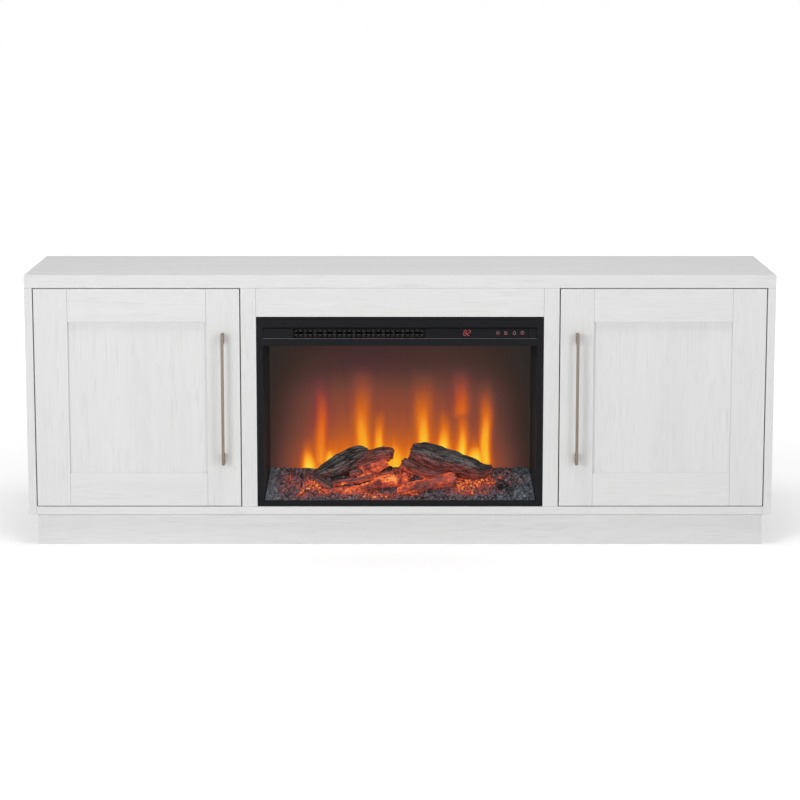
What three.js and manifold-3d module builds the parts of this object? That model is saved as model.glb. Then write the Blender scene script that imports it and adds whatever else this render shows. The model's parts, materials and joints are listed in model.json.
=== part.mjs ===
// A low television stand with an electric fireplace in its middle bay.
// A white wood-grain carcass stands on a recessed plinth. Two framed doors with
// bar pulls hang inside its ends on concealed hinges, and a surround closes the
// middle bay round the fireplace: a steel case with a black front frame, a glass
// window, a moulded ember bed with logs, a flame screen lit by a turning rotor,
// and a fan heater behind the grille above the window.
// Millimetres, +Z up. X runs along the width, and the front faces -Y.
// The origin is the centre of the footprint, handles included, on the floor.
import * as THREE from "three";
import { mergeVertices } from "three/addons/utils/BufferGeometryUtils.js";
import Module from "manifold-3d";

const wasm = await Module();
wasm.setup();

// Overall size
const cabinetWidth = 1727;
const cabinetHeight = 635;
const cabinetDepth = 400;

// Boards of the carcass
const boardThickness = 18;
const topThickness = 30;
const backThickness = 3;
const seam = 0.3; // left between any two pieces that meet
const overrun = 2; // how far a cutter passes the face that it opens

// Plinth
const plinthHeight = 75;
const plinthSideInset = 19;
const plinthFrontInset = 16;
const plinthBackInset = 24;
const braceThickness = 22;

// Fireplace bay and the surround that closes it
const bayWidth = 663;
const headerHeight = 66.5;
const jambWidth = 35.5;

// Doors
const doorGap = 2.5;
const doorEndGap = 2;
const doorThickness = 18;
const stileWidth = 77;
const railHeight = 77;
const panelRecess = 8;
const panelThickness = 6;
const grooveDepth = 8;

// Bar pulls
const handleLength = 304;
const handleWidth = 6.4;
const handleReach = 35;
const handleBarDepth = 8;
const handleLegHeight = 23;
const handleCornerRadius = 2.5;

// Concealed hinges
const hingeInset = 100; // from the door's end to the middle of a hinge
const doorOpening = THREE.MathUtils.degToRad(100);
const cupRadius = 17.5;
const cupDepth = 11.5;
const cupWall = 1.6;
const cupEdgeDistance = 5; // from the door's edge to the bore
const cupFlangeHeight = 58;
const cupFlangeWidth = 15;
const cupFlangeThickness = 0.8;
const linkThickness = 2.4;
const linkHeight = 12;
const linkPinRadius = 1.5;
const linkPivotEdge = 14; // from the door's hinged edge
const linkPivotSink = 3.5; // into the door from its rear face
const linkHook = 8.5; // towards the door's middle, to clear its edge when open
const linkNeck = 17.5;
const linkCrank = 6.4;
const linkTail = 38;
const armClearance = 0.6;
const armWall = 1.4;
const armMouthGap = 1.5;
const armPlateLength = 32;
const armPlateThickness = 2;
const armPlateHeight = 52;

// Shelves and their pins
const shelfSetback = 40;
const shelfSideGap = 0.8;
const shelfBackGap = 4;
const pinRadius = 2.5;
const pinLength = 9;
const pinInset = 55;

// Holes in the back
const cableHoleRadius = 32;
const cableHoleInset = 70; // from the divider to the hole's middle
const ventWidth = 430;
const ventHeight = 150;
const ventRise = 60; // above the bottom board
const ventCornerRadius = 25;

// Fireplace front frame, measured from the bay's floor and middle
const frameGap = 2;
const frameSetback = 0.5;
const frameThickness = 6;
const frameSideWidth = 13.5;
const frameSillHeight = 12.3;
const frameHeadHeight = 23; // above the control strip
const stripHeight = 26.6;
const stripRise = 16.2; // from the window's top to the control strip
const stripDepth = 3.5;
const grilleStartShare = 0.1112; // of the strip's width, from its left end
const grilleShare = 0.478; // of the strip's width
const stripMullion = 2.5;
const stripEndWidth = 19.5; // right of the control panel
const rimWidth = 4; // above the groove that runs under the frame's top edge
const rimGroove = 1.8;
const rimGrooveDepth = 1;

// Fireplace case
const caseDepth = 198;
const caseWall = 1.5;
const caseSideGap = 8; // each side, to the bay
const caseTopGap = 4;
const caseDeckDrop = 5.5; // below the control strip
const caseVentCount = 5;
const caseVentWidth = 150;
const caseVentHeight = 5;
const caseVentPitch = 8.4;
const linerThickness = 1;
const linerMargin = 1; // outside the window's edge
const linerTaper = 8; // towards the middle at the liner's rear
const linerStart = 12; // behind the surround's face

// Glass, grille and control panel
const glassThickness = 4;
const glassLap = 3.5;
const grilleThickness = 1.5;
const grilleLap = 1.6;
const slotColumns = 27;
const slotRows = 3;
const slotWidth = 8.4;
const slotHeight = 6.4;
const controlDepth = 9;
const controlSetback = 2;
const controlFit = 0.4;
const controlEndGap = 2.4;
const boardWidth = 150; // the electronics board behind the control panel
const boardHeight = 24;
const boardSheet = 1.6;
const chipCount = 5;
const chipSize = 11;
const chipHeight = 5;

// Ember bed, logs and flame screen
const bedStart = 14; // behind the surround's face
const bedDepth = 132;
const bedFit = 1; // to the liners
const bedFrontShare = 0.03; // of the window's height
const bedBackShare = 0.17;
const bedMoundShare = 0.05;
const bedShellThickness = 5;
const bedLumpHeight = 2.6;
const bedLumpLength = 46;
const bedColumns = 32;
const bedRows = 8;
const leftLogRadius = 21;
const rightLogRadius = 25;
const mouldedLogRadius = 12;
const mouldedStubRadius = 15;
const logSides = 11;
const logRings = 9;
const logSeat = 0.6;
const screenThickness = 3;

// Flame rotor and its motor
const rotorRadius = 20;
const rotorRodRadius = 3;
const rotorRise = 46;
const rotorGap = 6; // behind the flame screen
const finCount = 13;
const finThickness = 0.8;
const finWidth = 26;
const finTurn = THREE.MathUtils.degToRad(60); // from each fin to the next
const firstFinAngle = THREE.MathUtils.degToRad(15);
const bearingWidth = 22;
const bearingThickness = 2;
const bearingInset = 22;
const bearingPass = 2; // how far the rod passes through its bearing
const motorRadius = 17;
const motorLength = 24;
const motorBossRadius = 7;
const motorBossLength = 6;
const rotorMotorEntry = 4; // how far the rod enters the motor's boss
const shaftClearance = 0.35;

// Light strip on the case floor, under the rotor
const lightStripWidth = 16;
const lightStripSheet = 1.6;
const lampCount = 18;
const lampSize = 5;
const lampHeight = 1.6;

// Fan heater behind the grille
const ductWall = 1.2;
const ductFront = 12;
const ductDepth = 92;
const fanRadius = 17;
const fanAxleRadius = 2.5;
const fanBladeCount = 12;
const fanBladeThickness = 1;
const fanBladeWidth = 8;
const fanBladeSlant = THREE.MathUtils.degToRad(36);
const fanDiscThickness = 2;
const fanHubRadius = 5;
const fanEndGap = 4;
const fanRearGap = 2;
const elementDepth = 12;
const elementSetback = 8;
const elementFinCount = 14;
const elementFinDepth = 7;
const elementFinWidth = 4;
const elementBarHeight = 8;
const elementBarShares = [0.18, 0.5, 0.82]; // of the duct's inner height

// Cord gland on the back of the case
const glandRadius = 8;
const glandBore = 3.6;
const glandFlangeRadius = 11.5;
const glandFlangeThickness = 3;
const glandLength = 16;
const glandRoot = 3.5; // how far it reaches into the case
const glandSideInset = 60;
const glandRise = 38;

// Planes that pieces share
const halfWidth = cabinetWidth / 2;
const frontY = -(cabinetDepth - handleReach) / 2;
const backY = frontY + cabinetDepth;
const backPanelY = backY - backThickness;
const sideInnerX = halfWidth - boardThickness;
const floorZ = plinthHeight + boardThickness; // top of the bottom board
const ceilingZ = cabinetHeight - topThickness;
const bayHeight = ceilingZ - floorZ - headerHeight;
const dividerOuterX = bayWidth / 2 + jambWidth;
const dividerInnerX = dividerOuterX - boardThickness;
const doorOuterX = sideInnerX - doorGap;
const doorInnerX = dividerOuterX + doorGap;
const doorLowZ = floorZ + doorEndGap;
const doorHighZ = ceilingZ - doorEndGap;
const doorBackY = frontY + doorThickness;
const shelfMidZ = (floorZ + ceilingZ) / 2;
const shelfLowZ = shelfMidZ - boardThickness / 2;

// Flats that stand for round outlines
const circleSides = 20;
const boltSides = 10;
const handleCornerSides = 4;
const ventCornerSides = 5;

// Materials
function finish(color, roughness, metalness = 0, extra = {}) {
  return () => new THREE.MeshStandardMaterial({ color, roughness, metalness, ...extra });
}
const finishes = {
  whiteGrain: finish(0xe6e6e5, 0.55),
  hardboard: finish(0xd9d7d2, 0.7),
  champagne: finish(0xb7a58c, 0.3, 1),
  hingeSteel: finish(0xb9bcc0, 0.35, 1),
  blackFrame: finish(0x232427, 0.45, 0.2),
  galvanised: finish(0x8f9498, 0.5, 0.8),
  glass: finish(0x9aa0a3, 0.05, 0, { transparent: true, opacity: 0.25 }),
  gloss: finish(0x101012, 0.12),
  ash: finish(0x43464a, 0.95),
  bark: finish(0x3a302c, 0.9),
  flame: finish(0xb4551a, 0.4, 0, { emissive: 0x8a3a10 }),
  reflector: finish(0xd8dadc, 0.15, 1),
  motor: finish(0x70767c, 0.4, 0.8),
  fan: finish(0x2d3033, 0.6),
  element: finish(0xa9a294, 0.8),
  rubber: finish(0x161617, 0.8),
  circuit: finish(0x2f5c45, 0.5),
};

// Solids: closed geometries that are joined and cut.
function solidOf(geometry) {
  const plain = geometry.index ? geometry.toNonIndexed() : geometry.clone();
  plain.deleteAttribute("normal");
  plain.deleteAttribute("uv");
  const merged = mergeVertices(plain);
  return new wasm.Manifold(
    new wasm.Mesh({
      numProp: 3,
      vertProperties: merged.attributes.position.array,
      triVerts: new Uint32Array(merged.index.array),
    }),
  );
}

function geometryOf(solid) {
  const mesh = solid.getMesh();
  const geometry = new THREE.BufferGeometry();
  geometry.setAttribute("position", new THREE.BufferAttribute(mesh.vertProperties, 3));
  geometry.setIndex(new THREE.BufferAttribute(mesh.triVerts, 1));
  const faceted = geometry.toNonIndexed();
  faceted.computeVertexNormals();
  return faceted;
}

function cut(base, ...cutters) {
  return geometryOf(cutters.reduce((solid, c) => solid.subtract(solidOf(c)), solidOf(base)));
}

function join(base, ...others) {
  return geometryOf(others.reduce((solid, o) => solid.add(solidOf(o)), solidOf(base)));
}

// A box between two opposite corners.
function box([x0, y0, z0], [x1, y1, z1]) {
  const geometry = new THREE.BoxGeometry(x1 - x0, y1 - y0, z1 - z0);
  return geometry.translate((x0 + x1) / 2, (y0 + y1) / 2, (z0 + z1) / 2);
}

// A round bar along an axis, centred on a point.
function bar(axis, radius, length, [x, y, z], sides = circleSides) {
  const geometry = new THREE.CylinderGeometry(radius, radius, length, sides);
  if (axis === "x") geometry.rotateZ(-Math.PI / 2);
  if (axis === "z") geometry.rotateX(Math.PI / 2);
  return geometry.translate(x, y, z);
}

// An outline in X and Z carried through a depth along +Y from a start.
function plateXZ(shape, startY, depth) {
  const geometry = new THREE.ExtrudeGeometry(shape, {
    depth,
    bevelEnabled: false,
    curveSegments: ventCornerSides,
  });
  return geometry.rotateX(Math.PI / 2).translate(0, startY + depth, 0);
}

// An outline in X and Y carried up along Z, centred on a height.
function plateXY(shape, height, middleZ) {
  const geometry = new THREE.ExtrudeGeometry(shape, { depth: height, bevelEnabled: false });
  return geometry.translate(0, 0, middleZ - height / 2);
}

function roundedRectangle(x0, z0, x1, z1, radius) {
  const shape = new THREE.Shape();
  const quarter = Math.PI / 2;
  shape.absarc(x1 - radius, z0 + radius, radius, -quarter, 0);
  shape.absarc(x1 - radius, z1 - radius, radius, 0, quarter);
  shape.absarc(x0 + radius, z1 - radius, radius, quarter, 2 * quarter);
  shape.absarc(x0 + radius, z0 + radius, radius, 2 * quarter, 3 * quarter);
  return shape;
}

// A mitred strip of one thickness along a chain of points.
function strip(points, thickness) {
  const path = points.map(([x, y]) => new THREE.Vector2(x, y));
  const normals = path.slice(1).map((p, i) => {
    const along = p.clone().sub(path[i]).normalize();
    return new THREE.Vector2(-along.y, along.x);
  });
  const mitres = path.map((_, i) => {
    const before = normals[Math.max(i - 1, 0)];
    const after = normals[Math.min(i, normals.length - 1)];
    const middle = before.clone().add(after).normalize();
    return middle.multiplyScalar(thickness / 2 / middle.dot(after));
  });
  const left = path.map((p, i) => p.clone().add(mitres[i]));
  const right = path.map((p, i) => p.clone().sub(mitres[i]));
  return new THREE.Shape([...right, ...left.reverse()]);
}

const stand = new THREE.Group();

function add(group, name, geometry, material) {
  const mesh = new THREE.Mesh(geometry, finishes[material]());
  mesh.name = name;
  group.add(mesh);
  return mesh;
}

// The left end's pieces are the right end's, reflected in the plane X = 0. Swapping
// two corners of each triangle keeps the faces pointing out.
function reflected(geometry) {
  const flipped = geometry.index ? geometry.toNonIndexed() : geometry.clone();
  const position = flipped.attributes.position;
  const corner = new THREE.Vector3();
  const other = new THREE.Vector3();
  for (let i = 0; i < position.count; i += 3) {
    corner.fromBufferAttribute(position, i + 1);
    other.fromBufferAttribute(position, i + 2);
    position.setXYZ(i + 1, other.x, other.y, other.z);
    position.setXYZ(i + 2, corner.x, corner.y, corner.z);
  }
  for (let i = 0; i < position.count; i++) position.setX(i, -position.getX(i));
  flipped.computeVertexNormals();
  return flipped;
}

function addAtEnd(group, side, name, geometry, material) {
  return add(group, name, side === "left" ? reflected(geometry) : geometry, material);
}

// Carcass boards that span the middle
function buildCarcass(group) {
  add(
    group,
    "top_panel",
    box([-halfWidth, frontY, ceilingZ], [halfWidth, backY, cabinetHeight]),
    "whiteGrain",
  );
  const bottomEndX = sideInnerX - seam;
  add(
    group,
    "bottom_panel",
    box([-bottomEndX, frontY, plinthHeight], [bottomEndX, backPanelY - seam, floorZ]),
    "whiteGrain",
  );

  const headerEndX = bayWidth / 2 - seam;
  add(
    group,
    "surround_header",
    box(
      [-headerEndX, frontY, floorZ + bayHeight],
      [headerEndX, frontY + boardThickness, ceilingZ - seam],
    ),
    "whiteGrain",
  );
}

// Plinth: four boards mitre-free round the foot, and a brace under the middle
function buildPlinth(group) {
  const endX = halfWidth - plinthSideInset;
  const y0 = frontY + plinthFrontInset;
  const y1 = backY - plinthBackInset;
  const topZ = plinthHeight - seam;
  add(
    group,
    "plinth_front",
    box([-endX, y0, 0], [endX, y0 + boardThickness, topZ]),
    "whiteGrain",
  );
  add(
    group,
    "plinth_back",
    box([-endX, y1 - boardThickness, 0], [endX, y1, topZ]),
    "whiteGrain",
  );
  add(
    group,
    "plinth_centre_brace",
    box(
      [-braceThickness / 2, y0 + boardThickness + seam, 0],
      [braceThickness / 2, y1 - boardThickness - seam, topZ],
    ),
    "whiteGrain",
  );
}

// Back: three thin panels that lap the dividers' rear edges
function buildCentreBack(group) {
  const edgeX = (dividerInnerX + dividerOuterX) / 2 - seam / 2;
  const lowZ = plinthHeight;
  const panel = box([-edgeX, backPanelY, lowZ], [edgeX, backY, ceilingZ - seam]);
  const vent = roundedRectangle(
    -ventWidth / 2,
    floorZ + ventRise,
    ventWidth / 2,
    floorZ + ventRise + ventHeight,
    ventCornerRadius,
  );
  const opening = plateXZ(vent, backPanelY - overrun, backThickness + 2 * overrun);
  add(group, "centre_back_panel", cut(panel, opening), "hardboard");
}

// One end of the stand, modelled at +X. The left end is its mirror image.
function pinPlaces() {
  const frontPin = frontY + shelfSetback + pinInset;
  const rearPin = backPanelY - shelfBackGap - pinInset;
  return [frontPin, rearPin];
}

function withPins(board, faceX, towards) {
  const z = shelfLowZ - seam - pinRadius;
  const rooted = pinLength + overrun;
  const middleX = faceX + (towards * (pinLength - overrun)) / 2;
  const pins = pinPlaces().map((y) => bar("x", pinRadius, rooted, [middleX, y, z], boltSides));
  return join(board, ...pins);
}

function buildEnd(group, side) {
  const rearY = backPanelY - seam;

  const sideBoard = box([sideInnerX, frontY, plinthHeight], [halfWidth, backY, ceilingZ - seam]);
  addAtEnd(group, side, `${side}_side_panel`, withPins(sideBoard, sideInnerX, -1), "whiteGrain");

  const dividerFrontY = frontY + boardThickness + seam;
  const divider = box(
    [dividerInnerX, dividerFrontY, floorZ + seam],
    [dividerOuterX, rearY, ceilingZ - seam],
  );
  addAtEnd(group, side, `${side}_divider`, withPins(divider, dividerOuterX, 1), "whiteGrain");

  addAtEnd(
    group,
    side,
    `surround_${side}_jamb`,
    box(
      [bayWidth / 2, frontY, floorZ + seam],
      [dividerOuterX, frontY + boardThickness, ceilingZ - seam],
    ),
    "whiteGrain",
  );

  addAtEnd(
    group,
    side,
    `${side}_shelf`,
    box(
      [dividerOuterX + shelfSideGap, frontY + shelfSetback, shelfLowZ],
      [sideInnerX - shelfSideGap, backPanelY - shelfBackGap, shelfLowZ + boardThickness],
    ),
    "whiteGrain",
  );

  const endX = halfWidth - plinthSideInset;
  addAtEnd(
    group,
    side,
    `plinth_${side}_end`,
    box(
      [endX - boardThickness, frontY + plinthFrontInset + boardThickness + seam, 0],
      [endX, backY - plinthBackInset - boardThickness - seam, plinthHeight - seam],
    ),
    "whiteGrain",
  );

  const innerEdgeX = (dividerInnerX + dividerOuterX) / 2 + seam / 2;
  const back = box(
    [innerEdgeX, backPanelY, plinthHeight],
    [sideInnerX - seam, backY, ceilingZ - seam],
  );
  const holeX = dividerOuterX + cableHoleInset;
  const holeZs = [(floorZ + shelfLowZ) / 2, (shelfLowZ + boardThickness + ceilingZ) / 2];
  const holes = holeZs.map((z) =>
    bar("y", cableHoleRadius, backThickness + 2 * overrun, [holeX, backPanelY, z]),
  );
  addAtEnd(group, side, `${side}_back_panel`, cut(back, ...holes), "hardboard");
}

// Door: two stiles, two rails and a panel held in their grooves
function hingeHeights() {
  return [doorLowZ + hingeInset, doorHighZ - hingeInset];
}

function buildDoor(group, side) {
  const innerStileX = doorInnerX + stileWidth;
  const outerStileX = doorOuterX - stileWidth;
  const panelY = frontY + panelRecess;
  const grooveY = [panelY - seam, panelY + panelThickness + seam];
  const grooveReach = grooveDepth + seam;
  const panelLowZ = doorLowZ + railHeight;
  const panelHighZ = doorHighZ - railHeight;

  // The groove runs between the rails' far sides, and is stopped short of the ends.
  const grooveZ = [panelLowZ - grooveReach, panelHighZ + grooveReach];
  const stileGroove = (x0, x1) =>
    box([x0, grooveY[0], grooveZ[0]], [x1, grooveY[1], grooveZ[1]]);

  const innerStile = box([doorInnerX, frontY, doorLowZ], [innerStileX, doorBackY, doorHighZ]);
  addAtEnd(
    group,
    side,
    `${side}_door_inner_stile`,
    cut(innerStile, stileGroove(innerStileX - grooveReach, innerStileX + overrun)),
    "whiteGrain",
  );

  const outerStile = box([outerStileX, frontY, doorLowZ], [doorOuterX, doorBackY, doorHighZ]);
  const boreDepth = cupDepth + seam;
  const bores = hingeHeights().map((z) =>
    bar("y", cupRadius + seam, boreDepth + overrun, [
      cupX,
      doorBackY - (boreDepth - overrun) / 2,
      z,
    ]),
  );
  addAtEnd(
    group,
    side,
    `${side}_door_outer_stile`,
    cut(outerStile, stileGroove(outerStileX - overrun, outerStileX + grooveReach), ...bores),
    "whiteGrain",
  );

  const railX = [innerStileX + seam, outerStileX - seam];
  const rails = [
    ["bottom", doorLowZ, panelLowZ, panelLowZ - grooveReach, panelLowZ + overrun],
    ["top", panelHighZ, doorHighZ, panelHighZ - overrun, panelHighZ + grooveReach],
  ];
  for (const [name, z0, z1, grooveLowZ, grooveHighZ] of rails) {
    const rail = box([railX[0], frontY, z0], [railX[1], doorBackY, z1]);
    const groove = box(
      [railX[0] - overrun, grooveY[0], grooveLowZ],
      [railX[1] + overrun, grooveY[1], grooveHighZ],
    );
    addAtEnd(group, side, `${side}_door_${name}_rail`, cut(rail, groove), "whiteGrain");
  }

  addAtEnd(
    group,
    side,
    `${side}_door_panel`,
    box(
      [innerStileX - grooveDepth, panelY, panelLowZ - grooveDepth],
      [outerStileX + grooveDepth, panelY + panelThickness, panelHighZ + grooveDepth],
    ),
    "whiteGrain",
  );

  addAtEnd(group, side, `${side}_handle`, handleGeometry(), "champagne");
}

// Bar pull: one bracket-shaped outline in depth and height, as thick as the bar is wide.
function handleGeometry() {
  const half = handleLength / 2;
  const gripDepth = handleReach - handleBarDepth;
  const r = handleCornerRadius;
  const outline = new THREE.Shape();
  outline.moveTo(seam, -half);
  outline.lineTo(handleReach - r, -half);
  outline.absarc(handleReach - r, -half + r, r, -Math.PI / 2, 0);
  outline.absarc(handleReach - r, half - r, r, 0, Math.PI / 2);
  outline.lineTo(seam, half);
  outline.lineTo(seam, half - handleLegHeight);
  outline.lineTo(gripDepth, half - handleLegHeight);
  outline.lineTo(gripDepth, -half + handleLegHeight);
  outline.lineTo(seam, -half + handleLegHeight);
  const geometry = new THREE.ExtrudeGeometry(outline, {
    depth: handleWidth,
    bevelEnabled: false,
    curveSegments: handleCornerSides,
  });
  // The outline's X becomes -Y, its Y becomes Z, and its depth becomes -X.
  geometry.rotateX(Math.PI / 2);
  geometry.rotateZ(-Math.PI / 2);
  const handleX = doorInnerX + stileWidth / 2;
  const handleZ = (doorLowZ + doorHighZ) / 2;
  return geometry.translate(handleX + handleWidth / 2, frontY, handleZ);
}

// Concealed hinge: a cup in the door, a hooked link pinned in it, and an arm whose
// slot the link's tail slides in. The door turns about its front corner, the link keeps
// its direction, and the slot is as wide as the pin's path across it.
const cupX = doorOuterX - cupEdgeDistance - cupRadius;
const pivotX = doorOuterX - linkPivotEdge;
const pivotY = doorBackY - linkPivotSink;
const pivotDepth = pivotY - frontY;
const crankEndY = pivotY + linkNeck + linkCrank;
const tailEndY = crankEndY + linkTail;
const openEdge = linkPivotEdge * Math.cos(doorOpening) + pivotDepth * Math.sin(doorOpening);
const tailRoom = linkThickness / 2 + armClearance;
const slotNear = Math.min(linkPivotEdge, openEdge) - tailRoom;
const slotFar = Math.hypot(linkPivotEdge, pivotDepth) + tailRoom;

function hingeCup(z) {
  const inner = cupRadius - cupWall;
  const profile = [
    [0, -cupDepth],
    [cupRadius, -cupDepth],
    [cupRadius, cupFlangeThickness],
    [inner, cupFlangeThickness],
    [inner, cupWall - cupDepth],
    [0, cupWall - cupDepth],
  ];
  const cup = new THREE.LatheGeometry(
    profile.map(([r, h]) => new THREE.Vector2(r, h)),
    circleSides,
  );
  const half = cupFlangeWidth / 2;
  const wings = [-1, 1].map((end) => {
    const near = end * (inner + seam);
    const far = (end * cupFlangeHeight) / 2;
    return box([-half, 0, Math.min(near, far)], [half, cupFlangeThickness, Math.max(near, far)]);
  });
  return join(cup, ...wings).translate(cupX, doorBackY + seam, z);
}

function hingeLink(z) {
  const neckX = pivotX - linkHook;
  const path = [
    [pivotX, pivotY],
    [neckX, pivotY],
    [neckX, pivotY + linkNeck],
    [pivotX, crankEndY],
    [pivotX, tailEndY],
  ];
  const web = plateXY(strip(path, linkThickness), linkHeight, z);
  const reach = cupRadius - cupWall - seam;
  const offCentre = Math.abs(cupX - pivotX) + linkPinRadius;
  const chord = 2 * Math.sqrt(reach ** 2 - offCentre ** 2);
  const pin = bar("z", linkPinRadius, chord, [pivotX, pivotY, z], boltSides);
  return join(web, pin);
}

function hingeArm(z) {
  const y0 = crankEndY + armMouthGap;
  const slotEndY = tailEndY + armClearance;
  const wallX = sideInnerX - seam;
  const slotHalf = linkHeight / 2 + armClearance;
  const outerHalf = slotHalf + armWall;
  const body = box(
    [doorOuterX - slotFar - armWall, y0, z - outerHalf],
    [wallX, slotEndY + armWall, z + outerHalf],
  );
  const slot = box(
    [doorOuterX - slotFar, y0 - overrun, z - slotHalf],
    [doorOuterX - slotNear, slotEndY, z + slotHalf],
  );
  const plate = box(
    [wallX - armPlateThickness, y0, z - armPlateHeight / 2],
    [wallX, y0 + armPlateLength, z + armPlateHeight / 2],
  );
  return join(cut(body, slot), plate);
}

function buildHinges(group, side) {
  hingeHeights().forEach((z, i) => {
    const level = ["lower", "upper"][i];
    addAtEnd(group, side, `${side}_${level}_hinge_cup`, hingeCup(z), "hingeSteel");
    addAtEnd(group, side, `${side}_${level}_hinge_link`, hingeLink(z), "hingeSteel");
    addAtEnd(group, side, `${side}_${level}_hinge_arm`, hingeArm(z), "hingeSteel");
  });
}

// Fireplace. Its own frame: origin at the middle of the bay's floor, in the plane of
// the surround's face, with +Y going in.
const frameHalfWidth = bayWidth / 2 - frameGap;
const frameHighZ = bayHeight - frameGap;
const openingHalf = frameHalfWidth - frameSideWidth;
const stripHighZ = frameHighZ - frameHeadHeight;
const stripLowZ = stripHighZ - stripHeight;
const windowLowZ = frameGap + frameSillHeight;
const windowHighZ = stripLowZ - stripRise;
const windowHeight = windowHighZ - windowLowZ;
const frameBackY = frameSetback + frameThickness;
const grilleWidth = 2 * openingHalf * grilleShare;
const grilleLeftX = -openingHalf + 2 * openingHalf * grilleStartShare;
const grilleRightX = grilleLeftX + grilleWidth;
const controlLeftX = grilleRightX + stripMullion;
const controlRightX = openingHalf - stripEndWidth;
const caseFrontY = frameBackY + seam;
const caseBackY = caseFrontY + caseDepth;
const caseHalfWidth = bayWidth / 2 - caseSideGap;
const caseInnerX = caseHalfWidth - caseWall;
const caseHighZ = bayHeight - caseTopGap;
const caseFloorZ = seam + caseWall;
const deckHighZ = stripLowZ - caseDeckDrop;
const deckLowZ = deckHighZ - caseWall;
const bedEndY = bedStart + bedDepth;
const linerEndY = bedEndY;
const linerFrontX = openingHalf + linerMargin;
const linerBackX = linerFrontX - linerTaper;
const screenY = bedEndY + seam;
const rotorY = screenY + screenThickness + rotorGap + rotorRadius;
const rotorZ = caseFloorZ + rotorRise;

function frontFrame() {
  const plate = box(
    [-frameHalfWidth, frameSetback, frameGap],
    [frameHalfWidth, frameBackY, frameHighZ],
  );
  const y0 = frameSetback - overrun;
  const y1 = frameBackY + overrun;
  const window = box([-openingHalf, y0, windowLowZ], [openingHalf, y1, windowHighZ]);
  const pocket = box(
    [-openingHalf, y0, stripLowZ],
    [openingHalf, frameSetback + stripDepth, stripHighZ],
  );
  const grilleHole = box([grilleLeftX, y0, stripLowZ], [grilleRightX, y1, stripHighZ]);
  const controlHole = box([controlLeftX, y0, stripLowZ], [controlRightX, y1, stripHighZ]);
  const grooveHighZ = frameHighZ - rimWidth;
  const groove = box(
    [-openingHalf, y0, grooveHighZ - rimGroove],
    [openingHalf, frameSetback + rimGrooveDepth, grooveHighZ],
  );
  return cut(plate, window, pocket, grilleHole, controlHole, groove);
}

function glassPane() {
  return box(
    [-openingHalf - glassLap, caseFrontY, windowLowZ - glassLap],
    [openingHalf + glassLap, caseFrontY + glassThickness, windowHighZ + glassLap],
  );
}

function heaterGrille() {
  const plate = box(
    [grilleLeftX - grilleLap, caseFrontY, stripLowZ - grilleLap],
    [grilleRightX + stripMullion / 2, caseFrontY + grilleThickness, stripHighZ + grilleLap],
  );
  const pitchX = grilleWidth / slotColumns;
  const pitchZ = stripHeight / slotRows;
  const slots = [];
  for (let column = 0; column < slotColumns; column++) {
    for (let row = 0; row < slotRows; row++) {
      const x = grilleLeftX + (column + 1 / 2) * pitchX;
      const z = stripLowZ + (row + 1 / 2) * pitchZ;
      slots.push(
        box(
          [x - slotWidth / 2, caseFrontY - overrun, z - slotHeight / 2],
          [x + slotWidth / 2, caseFrontY + grilleThickness + overrun, z + slotHeight / 2],
        ),
      );
    }
  }
  return cut(plate, ...slots);
}

function controlPanel() {
  const face = box(
    [controlLeftX + controlFit, frameSetback + controlSetback, stripLowZ + controlFit],
    [controlRightX - controlEndGap, caseFrontY + controlDepth, stripHighZ - controlFit],
  );
  const lip = box(
    [controlLeftX - stripMullion / 2 + seam, caseFrontY, stripLowZ - grilleLap],
    [controlRightX + grilleLap, caseFrontY + grilleThickness, stripHighZ + grilleLap],
  );
  return join(face, lip);
}

// Electronics board: a sheet with a row of chips, behind the control panel
function controlBoard() {
  const x0 = (controlLeftX + controlRightX - boardWidth) / 2;
  const y0 = caseFrontY + controlDepth + seam;
  const z0 = (stripLowZ + stripHighZ - boardHeight) / 2;
  const sheet = box([x0, y0, z0], [x0 + boardWidth, y0 + boardSheet, z0 + boardHeight]);
  const pitch = boardWidth / chipCount;
  const chips = Array.from({ length: chipCount }, (_, i) => {
    const x = x0 + pitch * (i + 1 / 2);
    const z = z0 + boardHeight / 2;
    return box(
      [x - chipSize / 2, y0 + boardSheet / 2, z - chipSize / 2],
      [x + chipSize / 2, y0 + boardSheet + chipHeight, z + chipSize / 2],
    );
  });
  return join(sheet, ...chips);
}

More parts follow.
